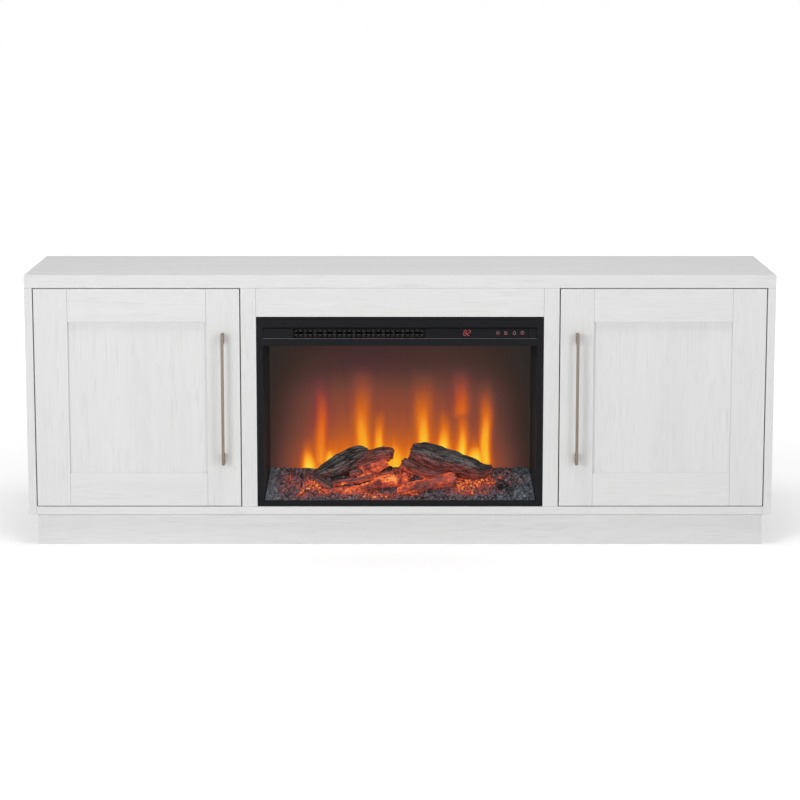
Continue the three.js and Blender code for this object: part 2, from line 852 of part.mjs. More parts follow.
// Case: a steel box open at the front, with a deck under the heater, vents and a cord
// hole in its back, two liners that close the firebox's sides, and the rotor's bearing.
function steelCase() {
  const shell = box([-caseHalfWidth, caseFrontY, seam], [caseHalfWidth, caseBackY, caseHighZ]);
  const y0 = caseFrontY - overrun;
  const y1 = caseBackY - caseWall;
  const chamber = box([-caseInnerX, y0, caseFloorZ], [caseInnerX, y1, deckLowZ]);
  const attic = box([-caseInnerX, y0, deckHighZ], [caseInnerX, y1, caseHighZ - caseWall]);
  const vents = Array.from({ length: caseVentCount }, (_, i) => {
    const z = deckHighZ + caseVentPitch * (i + 1);
    return box(
      [-caseVentWidth / 2, y1 - overrun, z - caseVentHeight / 2],
      [caseVentWidth / 2, caseBackY + overrun, z + caseVentHeight / 2],
    );
  });
  const cordHole = bar("y", glandRadius + seam, caseWall + 2 * overrun, [
    caseInnerX - glandSideInset,
    caseBackY - caseWall / 2,
    glandRise,
  ]);
  const hollow = cut(shell, chamber, attic, ...vents, cordHole);

  const liners = [-1, 1].map((end) => {
    const run = strip(
      [
        [end * linerFrontX, linerStart],
        [end * linerBackX, linerEndY],
      ],
      linerThickness,
    );
    const rooted = deckLowZ - caseFloorZ + caseWall;
    return plateXY(run, rooted, (deckLowZ + caseFloorZ) / 2);
  });

  const bearingX = -caseInnerX + bearingInset;
  const bearing = box(
    [bearingX, rotorY - bearingWidth / 2, caseFloorZ - caseWall / 2],
    [bearingX + bearingThickness, rotorY + bearingWidth / 2, rotorZ + bearingWidth / 2],
  );
  const bore = bar(
    "x",
    rotorRodRadius + shaftClearance,
    bearingThickness + 2 * overrun,
    [bearingX + bearingThickness / 2, rotorY, rotorZ],
    boltSides,
  );
  return join(hollow, ...liners, cut(bearing, bore));
}

// Ember bed: a moulded shell that climbs from the sill to the flame screen, higher
// in the middle, with lumps from three crossed waves.
const bedFrontHalf = linerFrontX - linerThickness - bedFit;
const moundWidthShare = 0.4; // of the bed's half width
const moundMiddleShare = 0.62; // of the bed's depth
const moundDepthShare = 0.27; // of the bed's depth
// Each wave's turns per lump length, across and along the bed, and its phase
const bedWaves = [
  [1, 0.7, 0],
  [0.61, -1.3, 1],
  [0.23, 1.7, 0],
];

function bedHeight(x, depthShare) {
  const slope = windowHeight * (bedFrontShare + (bedBackShare - bedFrontShare) * depthShare);
  const acrossMound = x / (bedFrontHalf * moundWidthShare);
  const alongMound = (depthShare - moundMiddleShare) / moundDepthShare;
  const mound = windowHeight * bedMoundShare * Math.exp(-(acrossMound ** 2) - alongMound ** 2);
  const a = (2 * Math.PI * x) / bedLumpLength;
  const b = (2 * Math.PI * depthShare * bedDepth) / bedLumpLength;
  const waves = bedWaves.map(([across, along, phase]) => Math.sin(across * a + along * b + phase));
  const lumps = waves.reduce((sum, wave) => sum + wave) / waves.length;
  return caseFloorZ + slope + mound + bedLumpHeight * lumps;
}

function gridSolid(columns, rows, topPoint, bottomPoint) {
  const points = [];
  const faces = [];
  const at = (layer, i, j) => (layer * (rows + 1) + j) * (columns + 1) + i;
  for (const point of [topPoint, bottomPoint]) {
    for (let j = 0; j <= rows; j++) {
      for (let i = 0; i <= columns; i++) points.push(...point(i, j));
    }
  }
  const quad = (a, b, c, d) => faces.push(a, b, c, a, c, d);
  for (let j = 0; j < rows; j++) {
    for (let i = 0; i < columns; i++) {
      quad(at(0, i, j), at(0, i + 1, j), at(0, i + 1, j + 1), at(0, i, j + 1));
      quad(at(1, i, j), at(1, i, j + 1), at(1, i + 1, j + 1), at(1, i + 1, j));
    }
  }
  for (let i = 0; i < columns; i++) {
    quad(at(1, i, 0), at(1, i + 1, 0), at(0, i + 1, 0), at(0, i, 0));
    quad(at(1, i + 1, rows), at(1, i, rows), at(0, i, rows), at(0, i + 1, rows));
  }
  for (let j = 0; j < rows; j++) {
    quad(at(1, 0, j + 1), at(1, 0, j), at(0, 0, j), at(0, 0, j + 1));
    quad(at(1, columns, j), at(1, columns, j + 1), at(0, columns, j + 1), at(0, columns, j));
  }
  const geometry = new THREE.BufferGeometry();
  geometry.setAttribute("position", new THREE.Float32BufferAttribute(points, 3));
  geometry.setIndex(faces);
  return geometry;
}

function emberBed() {
  const place = (i, j) => {
    const depthShare = j / bedRows;
    const half = bedFrontHalf - linerTaper * depthShare;
    const x = half * ((2 * i) / bedColumns - 1);
    return [x, bedStart + bedDepth * depthShare, bedHeight(x, depthShare)];
  };
  const under = (i, j) => {
    const [x, y, z] = place(i, j);
    const onEdge = i === 0 || j === 0 || i === bedColumns || j === bedRows;
    return [x, y, onEdge ? caseFloorZ + seam : z - bedShellThickness];
  };
  const shell = gridSolid(bedColumns, bedRows, place, under);
  const bed = join(shell, ...mouldedLogs.map((log) => logGeometry(log)));
  return cut(bed, ...Object.values(looseLogs).map((log) => logGeometry(log, logSeat)));
}

// Logs: an axis between two places, with a skin whose radius swells and pinches along
// it. Places are shares of the window's half width, the bed's depth and the window's
// height. Two logs lie loose in seats of the bed, and the others are moulded in one
// with it.
const looseLogs = {
  log_left: {
    fromShare: [-0.6, 0.62, 0.125],
    toShare: [-0.085, 0.66, 0.262],
    radius: leftLogRadius,
    wave: 0.4,
  },
  log_right: {
    fromShare: [0.66, 0.6, 0.135],
    toShare: [0.075, 0.66, 0.262],
    radius: rightLogRadius,
    wave: 1.9,
  },
};
const mouldedLogs = [
  { fromShare: [-0.57, 0.2, 0.05], toShare: [0, 0.55, 0.165], radius: mouldedLogRadius, wave: 3.1 },
  { fromShare: [-0.6, 0.1, 0.035], toShare: [0.28, 0.3, 0.11], radius: mouldedLogRadius, wave: 0.9 },
  { fromShare: [0.02, 0.45, 0.17], toShare: [0.34, 0.35, 0.13], radius: mouldedStubRadius, wave: 5.2 },
  { fromShare: [-0.02, 0.13, 0.045], toShare: [0.41, 0.2, 0.11], radius: mouldedStubRadius, wave: 4.4 },
  { fromShare: [-0.78, 0.3, 0.09], toShare: [-0.66, 0.12, 0.04], radius: mouldedStubRadius, wave: 2.2 },
];
const knotShare = 0.1; // of the radius, round the log
const knotCount = 2;
const knotTwist = 5; // radians from end to end
const ridgeShare = 0.06;
const ridgeCount = 3;
const ridgeTwist = 9;
const swellShare = 0.08; // of the radius, along the log
const swellTurn = 7;
const tipShare = 0.62; // of the radius, at the log's ends
const tipSlope = 2.4;

function logGeometry({ fromShare, toShare, radius, wave }, grow = 0) {
  const place = ([x, y, z]) =>
    new THREE.Vector3(x * openingHalf, bedStart + y * bedDepth, windowLowZ + z * windowHeight);
  const start = place(fromShare);
  const end = place(toShare);
  const along = end.clone().sub(start);
  const length = along.length();
  along.normalize();
  const across = new THREE.Vector3(0, 0, 1).cross(along).normalize();
  const up = along.clone().cross(across);
  const points = [];
  const faces = [];
  const ringAt = (t, reach, size) => {
    for (let k = 0; k < logSides; k++) {
      const angle = (2 * Math.PI * k) / logSides;
      const knots = knotShare * Math.sin(knotCount * angle + knotTwist * t + wave);
      const ridges = ridgeShare * Math.sin(ridgeCount * angle - ridgeTwist * t);
      const r = radius * size * (1 + knots + ridges) + grow;
      const p = start.clone().addScaledVector(along, reach);
      p.addScaledVector(across, r * Math.cos(angle)).addScaledVector(up, r * Math.sin(angle));
      points.push(p.x, p.y, p.z);
    }
  };
  for (let j = 0; j < logRings; j++) {
    const t = j / (logRings - 1);
    const taper = Math.min(1, tipShare + tipSlope * Math.min(t, 1 - t));
    const swell = 1 + swellShare * Math.sin(swellTurn * t + wave);
    ringAt(t, t * (length + 2 * grow) - grow, taper * swell);
  }
  for (const [tip, reach] of [
    [start, -grow],
    [end, grow],
  ]) {
    const p = tip.clone().addScaledVector(along, reach);
    points.push(p.x, p.y, p.z);
  }
  const first = logRings * logSides;
  for (let k = 0; k < logSides; k++) {
    const next = (k + 1) % logSides;
    faces.push(first, next, k);
    const base = (logRings - 1) * logSides;
    faces.push(first + 1, base + k, base + next);
    for (let j = 0; j < logRings - 1; j++) {
      const a = j * logSides;
      faces.push(a + k, a + next, a + logSides + next, a + k, a + logSides + next, a + logSides + k);
    }
  }
  const geometry = new THREE.BufferGeometry();
  geometry.setAttribute("position", new THREE.Float32BufferAttribute(points, 3));
  geometry.setIndex(faces);
  return geometry;
}

// Flame screen: the panel that the flames show on, standing between floor and deck
function flameScreen() {
  return box(
    [-linerBackX, screenY, caseFloorZ + seam],
    [linerBackX, screenY + screenThickness, deckLowZ - seam],
  );
}

// Rotor: a rod with crossed reflector fins that turns the light into flames
function flameRotor() {
  const leftX = -caseInnerX + bearingInset - bearingPass;
  const rightX = caseInnerX - seam - motorLength - motorBossLength + rotorMotorEntry;
  const rod = bar(
    "x",
    rotorRodRadius,
    rightX - leftX,
    [(leftX + rightX) / 2, rotorY, rotorZ],
    boltSides,
  );
  const firstEdge = leftX + bearingThickness + 2 * bearingPass;
  const lastEdge = rightX - 2 * rotorMotorEntry;
  const pitch = (lastEdge - firstEdge) / finCount;
  const fins = Array.from({ length: finCount }, (_, i) => {
    const fin = box(
      [-finWidth / 2, -rotorRadius, -finThickness / 2],
      [finWidth / 2, rotorRadius, finThickness / 2],
    );
    fin.rotateX(i * finTurn + firstFinAngle);
    return fin.translate(firstEdge + (i + 1 / 2) * pitch, rotorY, rotorZ);
  });
  return join(rod, ...fins);
}

function rotorMotor() {
  const bore = rotorRodRadius + shaftClearance;
  const profile = [
    [0, 0],
    [motorRadius, 0],
    [motorRadius, motorLength],
    [motorBossRadius, motorLength],
    [motorBossRadius, motorLength + motorBossLength],
    [bore, motorLength + motorBossLength],
    [bore, motorLength],
    [0, motorLength],
  ];
  const body = new THREE.LatheGeometry(
    profile.map(([r, h]) => new THREE.Vector2(r, h)),
    circleSides,
  );
  body.rotateZ(Math.PI / 2);
  return body.translate(caseInnerX - seam, rotorY, rotorZ);
}

function lightStrip() {
  const half = caseInnerX - bearingInset - bearingThickness - bearingPass;
  const y0 = rotorY - lightStripWidth / 2;
  const z0 = caseFloorZ + seam;
  const sheet = box([-half, y0, z0], [half, y0 + lightStripWidth, z0 + lightStripSheet]);
  const pitch = (2 * half) / lampCount;
  const lamps = Array.from({ length: lampCount }, (_, i) => {
    const x = -half + pitch * (i + 1 / 2);
    return box(
      [x - lampSize / 2, rotorY - lampSize / 2, z0 + lightStripSheet / 2],
      [x + lampSize / 2, rotorY + lampSize / 2, z0 + lightStripSheet + lampHeight],
    );
  });
  return join(sheet, ...lamps);
}

// Fan heater: a duct open front and back, the element at its mouth, and a drum fan
const ductLeftX = grilleLeftX;
const ductRightX = grilleRightX;
const ductLowZ = deckHighZ + seam;
const ductHighZ = caseHighZ - caseWall - seam;
const ductEndY = ductFront + ductDepth;
const fanY = ductEndY - fanRadius - fanRearGap;
const fanZ = (ductLowZ + ductHighZ) / 2;

function heaterDuct() {
  const outer = box([ductLeftX, ductFront, ductLowZ], [ductRightX, ductEndY, ductHighZ]);
  const inner = box(
    [ductLeftX + ductWall, ductFront - overrun, ductLowZ + ductWall],
    [ductRightX - ductWall, ductEndY + overrun, ductHighZ - ductWall],
  );
  const axleHole = bar(
    "x",
    fanAxleRadius + shaftClearance,
    ductRightX - ductLeftX + 2 * overrun,
    [(ductLeftX + ductRightX) / 2, fanY, fanZ],
    boltSides,
  );
  return cut(outer, inner, axleHole);
}

function fanWheel() {
  const length = ductRightX - ductLeftX - 2 * ductWall - 2 * fanEndGap;
  const middleX = (ductLeftX + ductRightX) / 2;
  const axleLength = ductRightX - ductLeftX;
  const axle = bar("x", fanAxleRadius, axleLength, [0, 0, 0], boltSides);
  const hub = bar("x", fanHubRadius, length, [0, 0, 0], boltSides);
  const discs = [-1, 1].map((end) =>
    bar("x", fanRadius, fanDiscThickness, [(end * (length - fanDiscThickness)) / 2, 0, 0]),
  );
  const bladeMiddle = fanRadius - fanBladeWidth / 2 - fanBladeThickness;
  const blades = Array.from({ length: fanBladeCount }, (_, i) => {
    const blade = box(
      [-length / 2 + fanDiscThickness / 2, -fanBladeWidth / 2, -fanBladeThickness / 2],
      [length / 2 - fanDiscThickness / 2, fanBladeWidth / 2, fanBladeThickness / 2],
    );
    blade.rotateX(fanBladeSlant);
    blade.translate(0, bladeMiddle, 0);
    return blade.rotateX((2 * Math.PI * i) / fanBladeCount);
  });
  return join(hub, axle, ...discs, ...blades).translate(middleX, fanY, fanZ);
}

function heatingElement() {
  const leftX = ductLeftX + ductWall + seam;
  const rightX = ductRightX - ductWall - seam;
  const y0 = ductFront + elementSetback;
  const lowZ = ductLowZ + ductWall + seam;
  const highZ = ductHighZ - ductWall - seam;
  const bars = elementBarShares.map((share) => {
    const z = lowZ + (highZ - lowZ) * share;
    return box(
      [leftX, y0, z - elementBarHeight / 2],
      [rightX, y0 + elementDepth, z + elementBarHeight / 2],
    );
  });
  const pitch = (rightX - leftX - elementFinWidth) / (elementFinCount - 1);
  const fins = Array.from({ length: elementFinCount }, (_, i) => {
    const x = leftX + i * pitch;
    return box(
      [x, y0 + (elementDepth - elementFinDepth) / 2, lowZ],
      [x + elementFinWidth, y0 + (elementDepth + elementFinDepth) / 2, highZ],
    );
  });
  return join(fins[0], ...bars, ...fins.slice(1));
}

function cordGland() {
  const profile = [
    [glandBore, -glandRoot],
    [glandRadius, -glandRoot],
    [glandRadius, seam],
    [glandFlangeRadius, seam],
    [glandFlangeRadius, seam + glandFlangeThickness],
    [glandRadius, seam + glandFlangeThickness],
    [(glandRadius + glandBore) / 2, glandLength],
    [glandBore, glandLength],
    [glandBore, -glandRoot],
  ];
  const gland = new THREE.LatheGeometry(
    profile.map(([r, h]) => new THREE.Vector2(r, h)),
    circleSides,
  );
  return gland.translate(caseInnerX - glandSideInset, caseBackY, glandRise);
}

function buildFireplace(group) {
  add(group, "fireplace_front_frame", frontFrame(), "blackFrame");
  add(group, "fireplace_glass", glassPane(), "glass");
  add(group, "heater_grille", heaterGrille(), "blackFrame");
  add(group, "control_panel", controlPanel(), "gloss");
  add(group, "fireplace_case", steelCase(), "galvanised");
  add(group, "cord_gland", cordGland(), "rubber");

  add(group, "control_board", controlBoard(), "circuit");
  add(group, "ember_bed", emberBed(), "ash");
  for (const [name, log] of Object.entries(looseLogs)) {
    add(group, name, logGeometry(log), "bark");
  }
  add(group, "flame_screen", flameScreen(), "flame");
  add(group, "flame_rotor", flameRotor(), "reflector");
  add(group, "rotor_motor", rotorMotor(), "motor");
  add(group, "light_strip", lightStrip(), "circuit");
  add(group, "heater_duct", heaterDuct(), "galvanised");
  add(group, "fan_wheel", fanWheel(), "fan");
  add(group, "heating_element", heatingElement(), "element");
}

buildCarcass(stand);
buildPlinth(stand);
buildCentreBack(stand);

const fireplace = new THREE.Group();
fireplace.position.set(0, frontY, floorZ);
buildFireplace(fireplace);
stand.add(fireplace);

for (const side of ["left", "right"]) {
  const end = new THREE.Group();
  buildEnd(end, side);
  buildDoor(end, side);
  buildHinges(end, side);
  stand.add(end);
}

export default stand;
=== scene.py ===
"""The finished look of a low white television stand with a log fireplace in its middle.

Painted wood-grain boards with eased edges, two framed doors with champagne bar pulls, and
a fireplace insert: charcoal front frame, crushed coal, charred logs, embers and flames.
Lengths are in metres. X runs along the stand, -Y out of its front, and Z up.
"""

import json
import math

import bmesh
import bpy
import numpy as np
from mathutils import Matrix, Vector
from mathutils.geometry import delaunay_2d_cdt

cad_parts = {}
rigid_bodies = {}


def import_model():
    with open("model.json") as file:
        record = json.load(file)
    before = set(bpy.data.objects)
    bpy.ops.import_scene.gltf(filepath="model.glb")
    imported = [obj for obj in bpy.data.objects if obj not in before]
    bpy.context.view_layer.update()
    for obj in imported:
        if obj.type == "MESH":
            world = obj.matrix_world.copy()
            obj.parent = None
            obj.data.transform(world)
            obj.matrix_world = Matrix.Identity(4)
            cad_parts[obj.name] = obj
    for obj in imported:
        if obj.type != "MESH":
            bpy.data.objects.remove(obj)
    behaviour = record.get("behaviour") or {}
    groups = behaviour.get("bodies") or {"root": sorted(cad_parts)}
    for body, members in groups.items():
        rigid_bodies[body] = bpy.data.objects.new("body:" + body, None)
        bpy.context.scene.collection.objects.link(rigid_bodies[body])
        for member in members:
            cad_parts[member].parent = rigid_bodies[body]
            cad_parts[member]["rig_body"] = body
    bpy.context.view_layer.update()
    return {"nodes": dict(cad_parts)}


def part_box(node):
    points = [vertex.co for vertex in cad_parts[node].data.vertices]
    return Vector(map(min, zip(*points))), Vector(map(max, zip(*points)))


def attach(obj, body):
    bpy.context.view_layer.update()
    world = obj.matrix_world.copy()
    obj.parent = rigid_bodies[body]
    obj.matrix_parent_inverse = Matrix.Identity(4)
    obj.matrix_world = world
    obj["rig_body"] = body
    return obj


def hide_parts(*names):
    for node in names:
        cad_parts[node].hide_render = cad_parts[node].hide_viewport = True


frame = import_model()

MM = 0.001
SIDES = {"left": -1, "right": 1}


# ---- Shader expressions


class Wire:
    """A node's output. Its sums, differences and products add Math nodes."""

    def __init__(self, finish, socket):
        self.finish = finish
        self.socket = socket

    def worked(self, operation, first, second, clamp=False):
        settings = {"operation": operation, "use_clamp": clamp}
        return self.finish.node("ShaderNodeMath", settings, {0: first, 1: second})

    def __add__(self, other):
        return self.worked("ADD", self, other)

    def __sub__(self, other):
        return self.worked("SUBTRACT", self, other)

    def __rsub__(self, other):
        return self.worked("SUBTRACT", other, self)

    def __mul__(self, other):
        return self.worked("MULTIPLY", self, other)

    __radd__ = __add__
    __rmul__ = __mul__

    def between(self, low, high):
        """0 up to low, 1 from high on, and a straight climb between them."""
        return self.worked("DIVIDE", self - low, high - low, clamp=True)


class Finish:
    """A material, or the world, and the nodes that make it."""

    def __init__(self, name, owners=bpy.data.materials):
        self.owner = owners.new(name)
        self.owner.use_nodes = True
        self.tree = self.owner.node_tree
        self.tree.nodes.clear()

    def node(self, kind, settings=None, inputs=None, output=0):
        """A node with its settings made first, then the values or links of its sockets."""
        made = self.tree.nodes.new(kind)
        for key, value in (settings or {}).items():
            if key == "stops":
                elements = made.color_ramp.elements
                while len(elements) < len(value):
                    elements.new(0.5)
                for element, (at, color) in zip(elements, value):
                    element.position = at
                    element.color = (*color, 1)
            else:
                setattr(made, key, value)
        for key, value in (inputs or {}).items():
            if isinstance(value, Wire):
                self.tree.links.new(value.socket, made.inputs[key])
            else:
                made.inputs[key].default_value = value
        return Wire(self, made.outputs[output]) if made.outputs else None

    def place(self):
        """The point of the surface, in the stand's own frame."""
        return self.node("ShaderNodeTexCoord", output="Object")

    def value_of(self, name):
        """A number that the piece carries at each of its points."""
        return self.node("ShaderNodeAttribute", {"attribute_name": name}, output="Fac")

    def stretched(self, place, scale, shift=None):
        """The place times a scale along each axis, moved on by a shift."""
        times = {"operation": "MULTIPLY"}
        scaled = self.node("ShaderNodeVectorMath", times, {0: place, 1: scale})
        if shift is None:
            return scaled
        moved = self.node("ShaderNodeCombineXYZ", None, {0: shift, 1: shift, 2: shift})
        return self.node("ShaderNodeVectorMath", {"operation": "ADD"}, {0: scaled, 1: moved})

    def noise(self, place, scale=1.0, detail=2.0, roughness=0.5, distortion=0.0):
        inputs = {"Vector": place, "Scale": scale, "Detail": detail}
        inputs.update({"Roughness": roughness, "Distortion": distortion})
        return self.node("ShaderNodeTexNoise", None, inputs)

    def cells(self, place, scale=1.0, feature="F1"):
        inputs = {"Vector": place, "Scale": scale}
        return self.node("ShaderNodeTexVoronoi", {"feature": feature}, inputs)

    def blend(self, share, first, second, how="MIX"):
        """The first colour turned into the second by a share."""
        settings = {"data_type": "RGBA", "blend_type": how}
        first, second = [c if isinstance(c, Wire) else (*c, 1) for c in (first, second)]
        return self.node("ShaderNodeMix", settings, {0: share, 6: first, 7: second}, output=2)

    def ramp(self, value, stops):
        return self.node("ShaderNodeValToRGB", {"stops": stops}, {0: value}, output="Color")

    def bump(self, height, depth):
        return self.node("ShaderNodeBump", None, {"Height": height, "Distance": depth})

    def coat(self, **sockets):
        """Ends the material in one Principled surface. A socket's name has _ for a space."""
        inputs = {}
        for key, value in sockets.items():
            if isinstance(value, tuple) and len(value) == 3:
                value = (*value, 1)
            inputs[key.replace("_", " ")] = value
        return self.end(self.node("ShaderNodeBsdfPrincipled", None, inputs))

    def end(self, surface, output="ShaderNodeOutputMaterial"):
        self.node(output, None, {"Surface": surface})
        return self.owner

    def watched(self):
        """1 for what the camera sees directly, in a reflection or through glass."""
        rays = [
            self.node("ShaderNodeLightPath", output=f"Is {kind} Ray")
            for kind in ("Camera", "Glossy", "Transmission")
        ]
        return (rays[0] + rays[1] + rays[2]).between(0.0, 1.0)


# ---- Numbers scattered and smoothed over space


def scattered(cell, seed):
    """A number from 0 to 1 for each whole place: its bits are multiplied, shifted and mixed."""
    mixed = (cell @ np.array([374761393, 668265263, 1274126177]) + seed * 97531) & 0xFFFFFFFF
    mixed = ((mixed ^ (mixed >> 13)) * 1103515245) & 0xFFFFFFFF
    mixed = ((mixed ^ (mixed >> 16)) * 668265263) & 0xFFFFFFFF
    return ((mixed ^ (mixed >> 15)) & 0xFFFFFF) / 0xFFFFFF


def soft_noise(place, seed):
    """Smooth noise from -1 to 1: scattered numbers at whole places, blended by 3t² - 2t³."""
    cell = np.floor(place).astype(np.int64)
    share = place - cell
    share = share * share * (3 - 2 * share)
    total = 0
    for corner in np.ndindex(2, 2, 2):
        weight = np.where(np.array(corner) == 1, share, 1 - share).prod(axis=-1)
        total = total + weight * scattered(cell + corner, seed)
    return 2 * total - 1


def rough_noise(place, layers, seed):
    """Layers of smooth noise, each twice as fine and half as strong as the one before."""
    return sum(soft_noise(place * 2**k, seed + k) / 2**k for k in range(layers))


def stones(place, seed):
    """For one stone scattered in each unit cell: how far the nearest and the next one are,
    and the nearest one's own number from 0 to 1."""
    cell = np.floor(place).astype(np.int64)
    near = np.full(place.shape[:-1], 9.0)
    following = near.copy()
    number = near.copy()
    for shift in np.ndindex(3, 3, 3):
        home = cell + shift - 1
        middle = home + np.stack([scattered(home, seed + k) for k in range(3)], -1)
        away = np.linalg.norm(place - middle, axis=-1)
        closer = away < near
        following = np.where(closer, near, np.minimum(following, away))
        number = np.where(closer, scattered(home, seed + 7), number)
        near = np.where(closer, away, near)
    return near, following, number


def stacked(*parts):
    return np.stack(np.broadcast_arrays(*parts), -1)


# ---- Shapes


def skin(rings, joined=False):
    """A closed skin over closed rings of points: four-cornered faces from each ring to the
    next, and a fan from a middle point over the first and the last, unless they are joined."""
    rings = np.asarray(rings, float)
    count, around = rings.shape[:2]
    index = np.arange(count * around).reshape(count, around)
    if joined:
        index = np.concatenate([index, index[:1]])
    beside = np.roll(index, -1, axis=1)
    walls = stacked(index[:-1], beside[:-1], beside[1:], index[1:]).reshape(-1, 4)
    points = rings.reshape(-1, 3)
    fans = np.zeros((0, 3), int)
    if not joined:
        points = np.concatenate([points, rings[[0, -1]].mean(axis=1)])
        foot, tip = count * around, count * around + 1
        fans = np.concatenate(
            [stacked(beside[0], index[0], foot), stacked(index[-1], beside[-1], tip)]
        )
    a, b, c, d = (points[walls[:, k]] - points.mean(axis=0) for k in range(4))
    if np.einsum("ij,ij->", a, np.cross(b, c)) + np.einsum("ij,ij->", a, np.cross(c, d)) < 0:
        walls, fans = walls[:, ::-1], fans[:, ::-1]
    return points, walls, fans


def block(low, high, ease, along=0, steps=3):
    """A box with rounded edges: a rounded rectangle carried along one axis, drawn in round a
    quarter circle at either end."""
    low, high = np.array(low, float), np.array(high, float)
    ease = min(ease, (high - low).min() * 0.49)
    quarter = np.linspace(0, np.pi / 2, steps + 1)
    turn = (quarter + np.arange(4)[:, None] * np.pi / 2).ravel()
    side = np.repeat([[1, 1], [-1, 1], [-1, -1], [1, -1]], steps + 1, axis=0)
    radius = ease * np.concatenate([np.sin(quarter), np.sin(quarter)[::-1]])[:, None]
    drawn = ease * (1 - np.cos(quarter))
    rings = np.zeros((len(radius), len(turn), 3))
    rings[..., along] = np.concatenate([low[along] + drawn, high[along] - drawn[::-1]])[:, None]
    for axis, signs, wave in zip([a for a in range(3) if a != along], side.T, (np.cos, np.sin)):
        middle = (low[axis] + high[axis]) / 2
        reach = (high[axis] - low[axis]) / 2 - ease
        rings[..., axis] = middle + signs * reach + radius * wave(turn)
    return skin(rings)


def turned(profile, foot, axis, sides, bored=False):
    """A profile of radius and height pairs turned about an axis that starts at a foot. A
    bored one's profile comes round to where it began."""
    profile = np.array(profile, float)
    axis = np.array(axis, float)
    across = np.cross(spare_axis(axis), axis)
    up = np.cross(axis, across)
    angle = np.linspace(0, 2 * np.pi, sides, endpoint=False)[:, None]
    spoke = np.cos(angle) * across + np.sin(angle) * up
    rings = profile[:, None, :1] * spoke[None] + profile[:, None, 1:] * axis
    return skin(rings + np.array(foot, float), bored)


def spare_axis(axis):
    """An axis that isn't the given one: Z, or X where that is Z."""
    return np.array([0, 0, 1.0]) if abs(axis[2]) < 0.9 else np.array([1.0, 0, 0])


def ribbon(points, width, depth, normal, closed=False):
    """A flat bar along a path of points in a plane: at each point, half its width to either
    side of the path's direction, and its depth along the normal."""
    points = np.array(points, float)
    if closed:
        along = np.roll(points, -1, axis=0) - np.roll(points, 1, axis=0)
    else:
        along = np.gradient(points, axis=0)
    along /= np.linalg.norm(along, axis=1)[:, None]
    normal = np.array(normal, float)
    across = np.cross(normal, along) * width / 2
    deep = normal * depth
    corners = [points + across, points + across + deep, points - across + deep, points - across]
    return skin(np.stack(corners, axis=1), closed)


def piece(name, shells, body, material, stands_for=(), smooth=True, values=None):
    """One piece made of closed shells, on its body, with numbers carried at its points."""
    points, faces, start = [], [], 0
    for shell_points, *shell_faces in shells:
        points.append(shell_points)
        for group in shell_faces:
            faces += (group + start).tolist()
        start += len(shell_points)
    mesh = bpy.data.meshes.new(name)
    mesh.from_pydata(np.concatenate(points), [], faces)
    for key, numbers in (values or {}).items():
        layer = mesh.attributes.new(key, "FLOAT", "POINT")
        numbers = np.broadcast_to(np.asarray(numbers, np.float32), len(mesh.vertices))
        layer.data.foreach_set("value", np.ascontiguousarray(numbers))
    return settled(name, mesh, body, material, stands_for, smooth)


def settled(name, mesh, body, material, stands_for, smooth):
    """A mesh as an object that rides on its body and stands for CAD nodes."""
    mesh.polygons.foreach_set("use_smooth", np.full(len(mesh.polygons), smooth))
    mesh.materials.clear()
    mesh.materials.append(material)
    thing = bpy.data.objects.new(name, mesh)
    bpy.context.scene.collection.objects.link(thing)
    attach(thing, body)
    if stands_for:
        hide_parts(*stands_for)
    return thing


def eased(node, name, material, ease, values=None):
    """The node's own solid with its triangles joined, its flat faces whole and its edges eased."""
    source = frame["nodes"][node]
    work = bmesh.new()
    work.from_mesh(source.data)
    bmesh.ops.remove_doubles(work, verts=work.verts, dist=1e-6)
    flat = math.radians(0.6)
    bmesh.ops.dissolve_limit(work, angle_limit=flat, verts=work.verts, edges=work.edges)
    mesh = bpy.data.meshes.new(name)
    work.to_mesh(mesh)
    work.free()
    for layer in [a.name for a in mesh.attributes if a.name in ("custom_normal", "UVMap")]:
        mesh.attributes.remove(mesh.attributes[layer])
    for key, number in (values or {}).items():
        layer = mesh.attributes.new(key, "FLOAT", "POINT")
        layer.data.foreach_set("value", np.full(len(mesh.vertices), number, np.float32))
    thing = settled(name, mesh, source["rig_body"], material, [node], True)
    bevel = thing.modifiers.new("eased edges", "BEVEL")
    bevel.width = ease
    bevel.segments = 3
    bevel.limit_method = "ANGLE"
    bevel.angle_limit = math.radians(50)
    bevel.harden_normals = True
    return thing


# ---- Finishes


def laminate(along):
    """White painted wood grain along one axis: broad bands, streaks and fine sunken pores,
    shifted by each board's own number."""
    finish = Finish(f"white_woodgrain_along_{along}")
    place = finish.place()
    number = finish.value_of("board")

    def grain(across, lengthwise):
        scale = [across] * 3
        scale["xyz".index(along)] = lengthwise
        return finish.stretched(place, scale, number)

    bands = finish.noise(grain(16, 0.9), detail=2, distortion=0.8)
    streaks = finish.noise(grain(150, 5), detail=3, roughness=0.6, distortion=0.5)
    pores = finish.noise(grain(520, 14), detail=1.5)
    pore = pores.between(0.56, 0.7) * streaks.between(0.38, 0.6)
    tone = bands.between(0.25, 0.75) * 0.45 + streaks.between(0.25, 0.75) * 0.55
    painted = finish.blend(tone, (0.752, 0.755, 0.752), (0.838, 0.84, 0.836))
    color = finish.blend(pore * 0.5, painted, (0.66, 0.66, 0.655))
    relief = streaks * 0.6 - pore * 0.8 + bands * 0.4
    return finish.coat(
        Base_Color=color,
        Roughness=streaks * 0.2 + 0.42,
        Normal=finish.bump(relief, 0.35 * MM),
    )


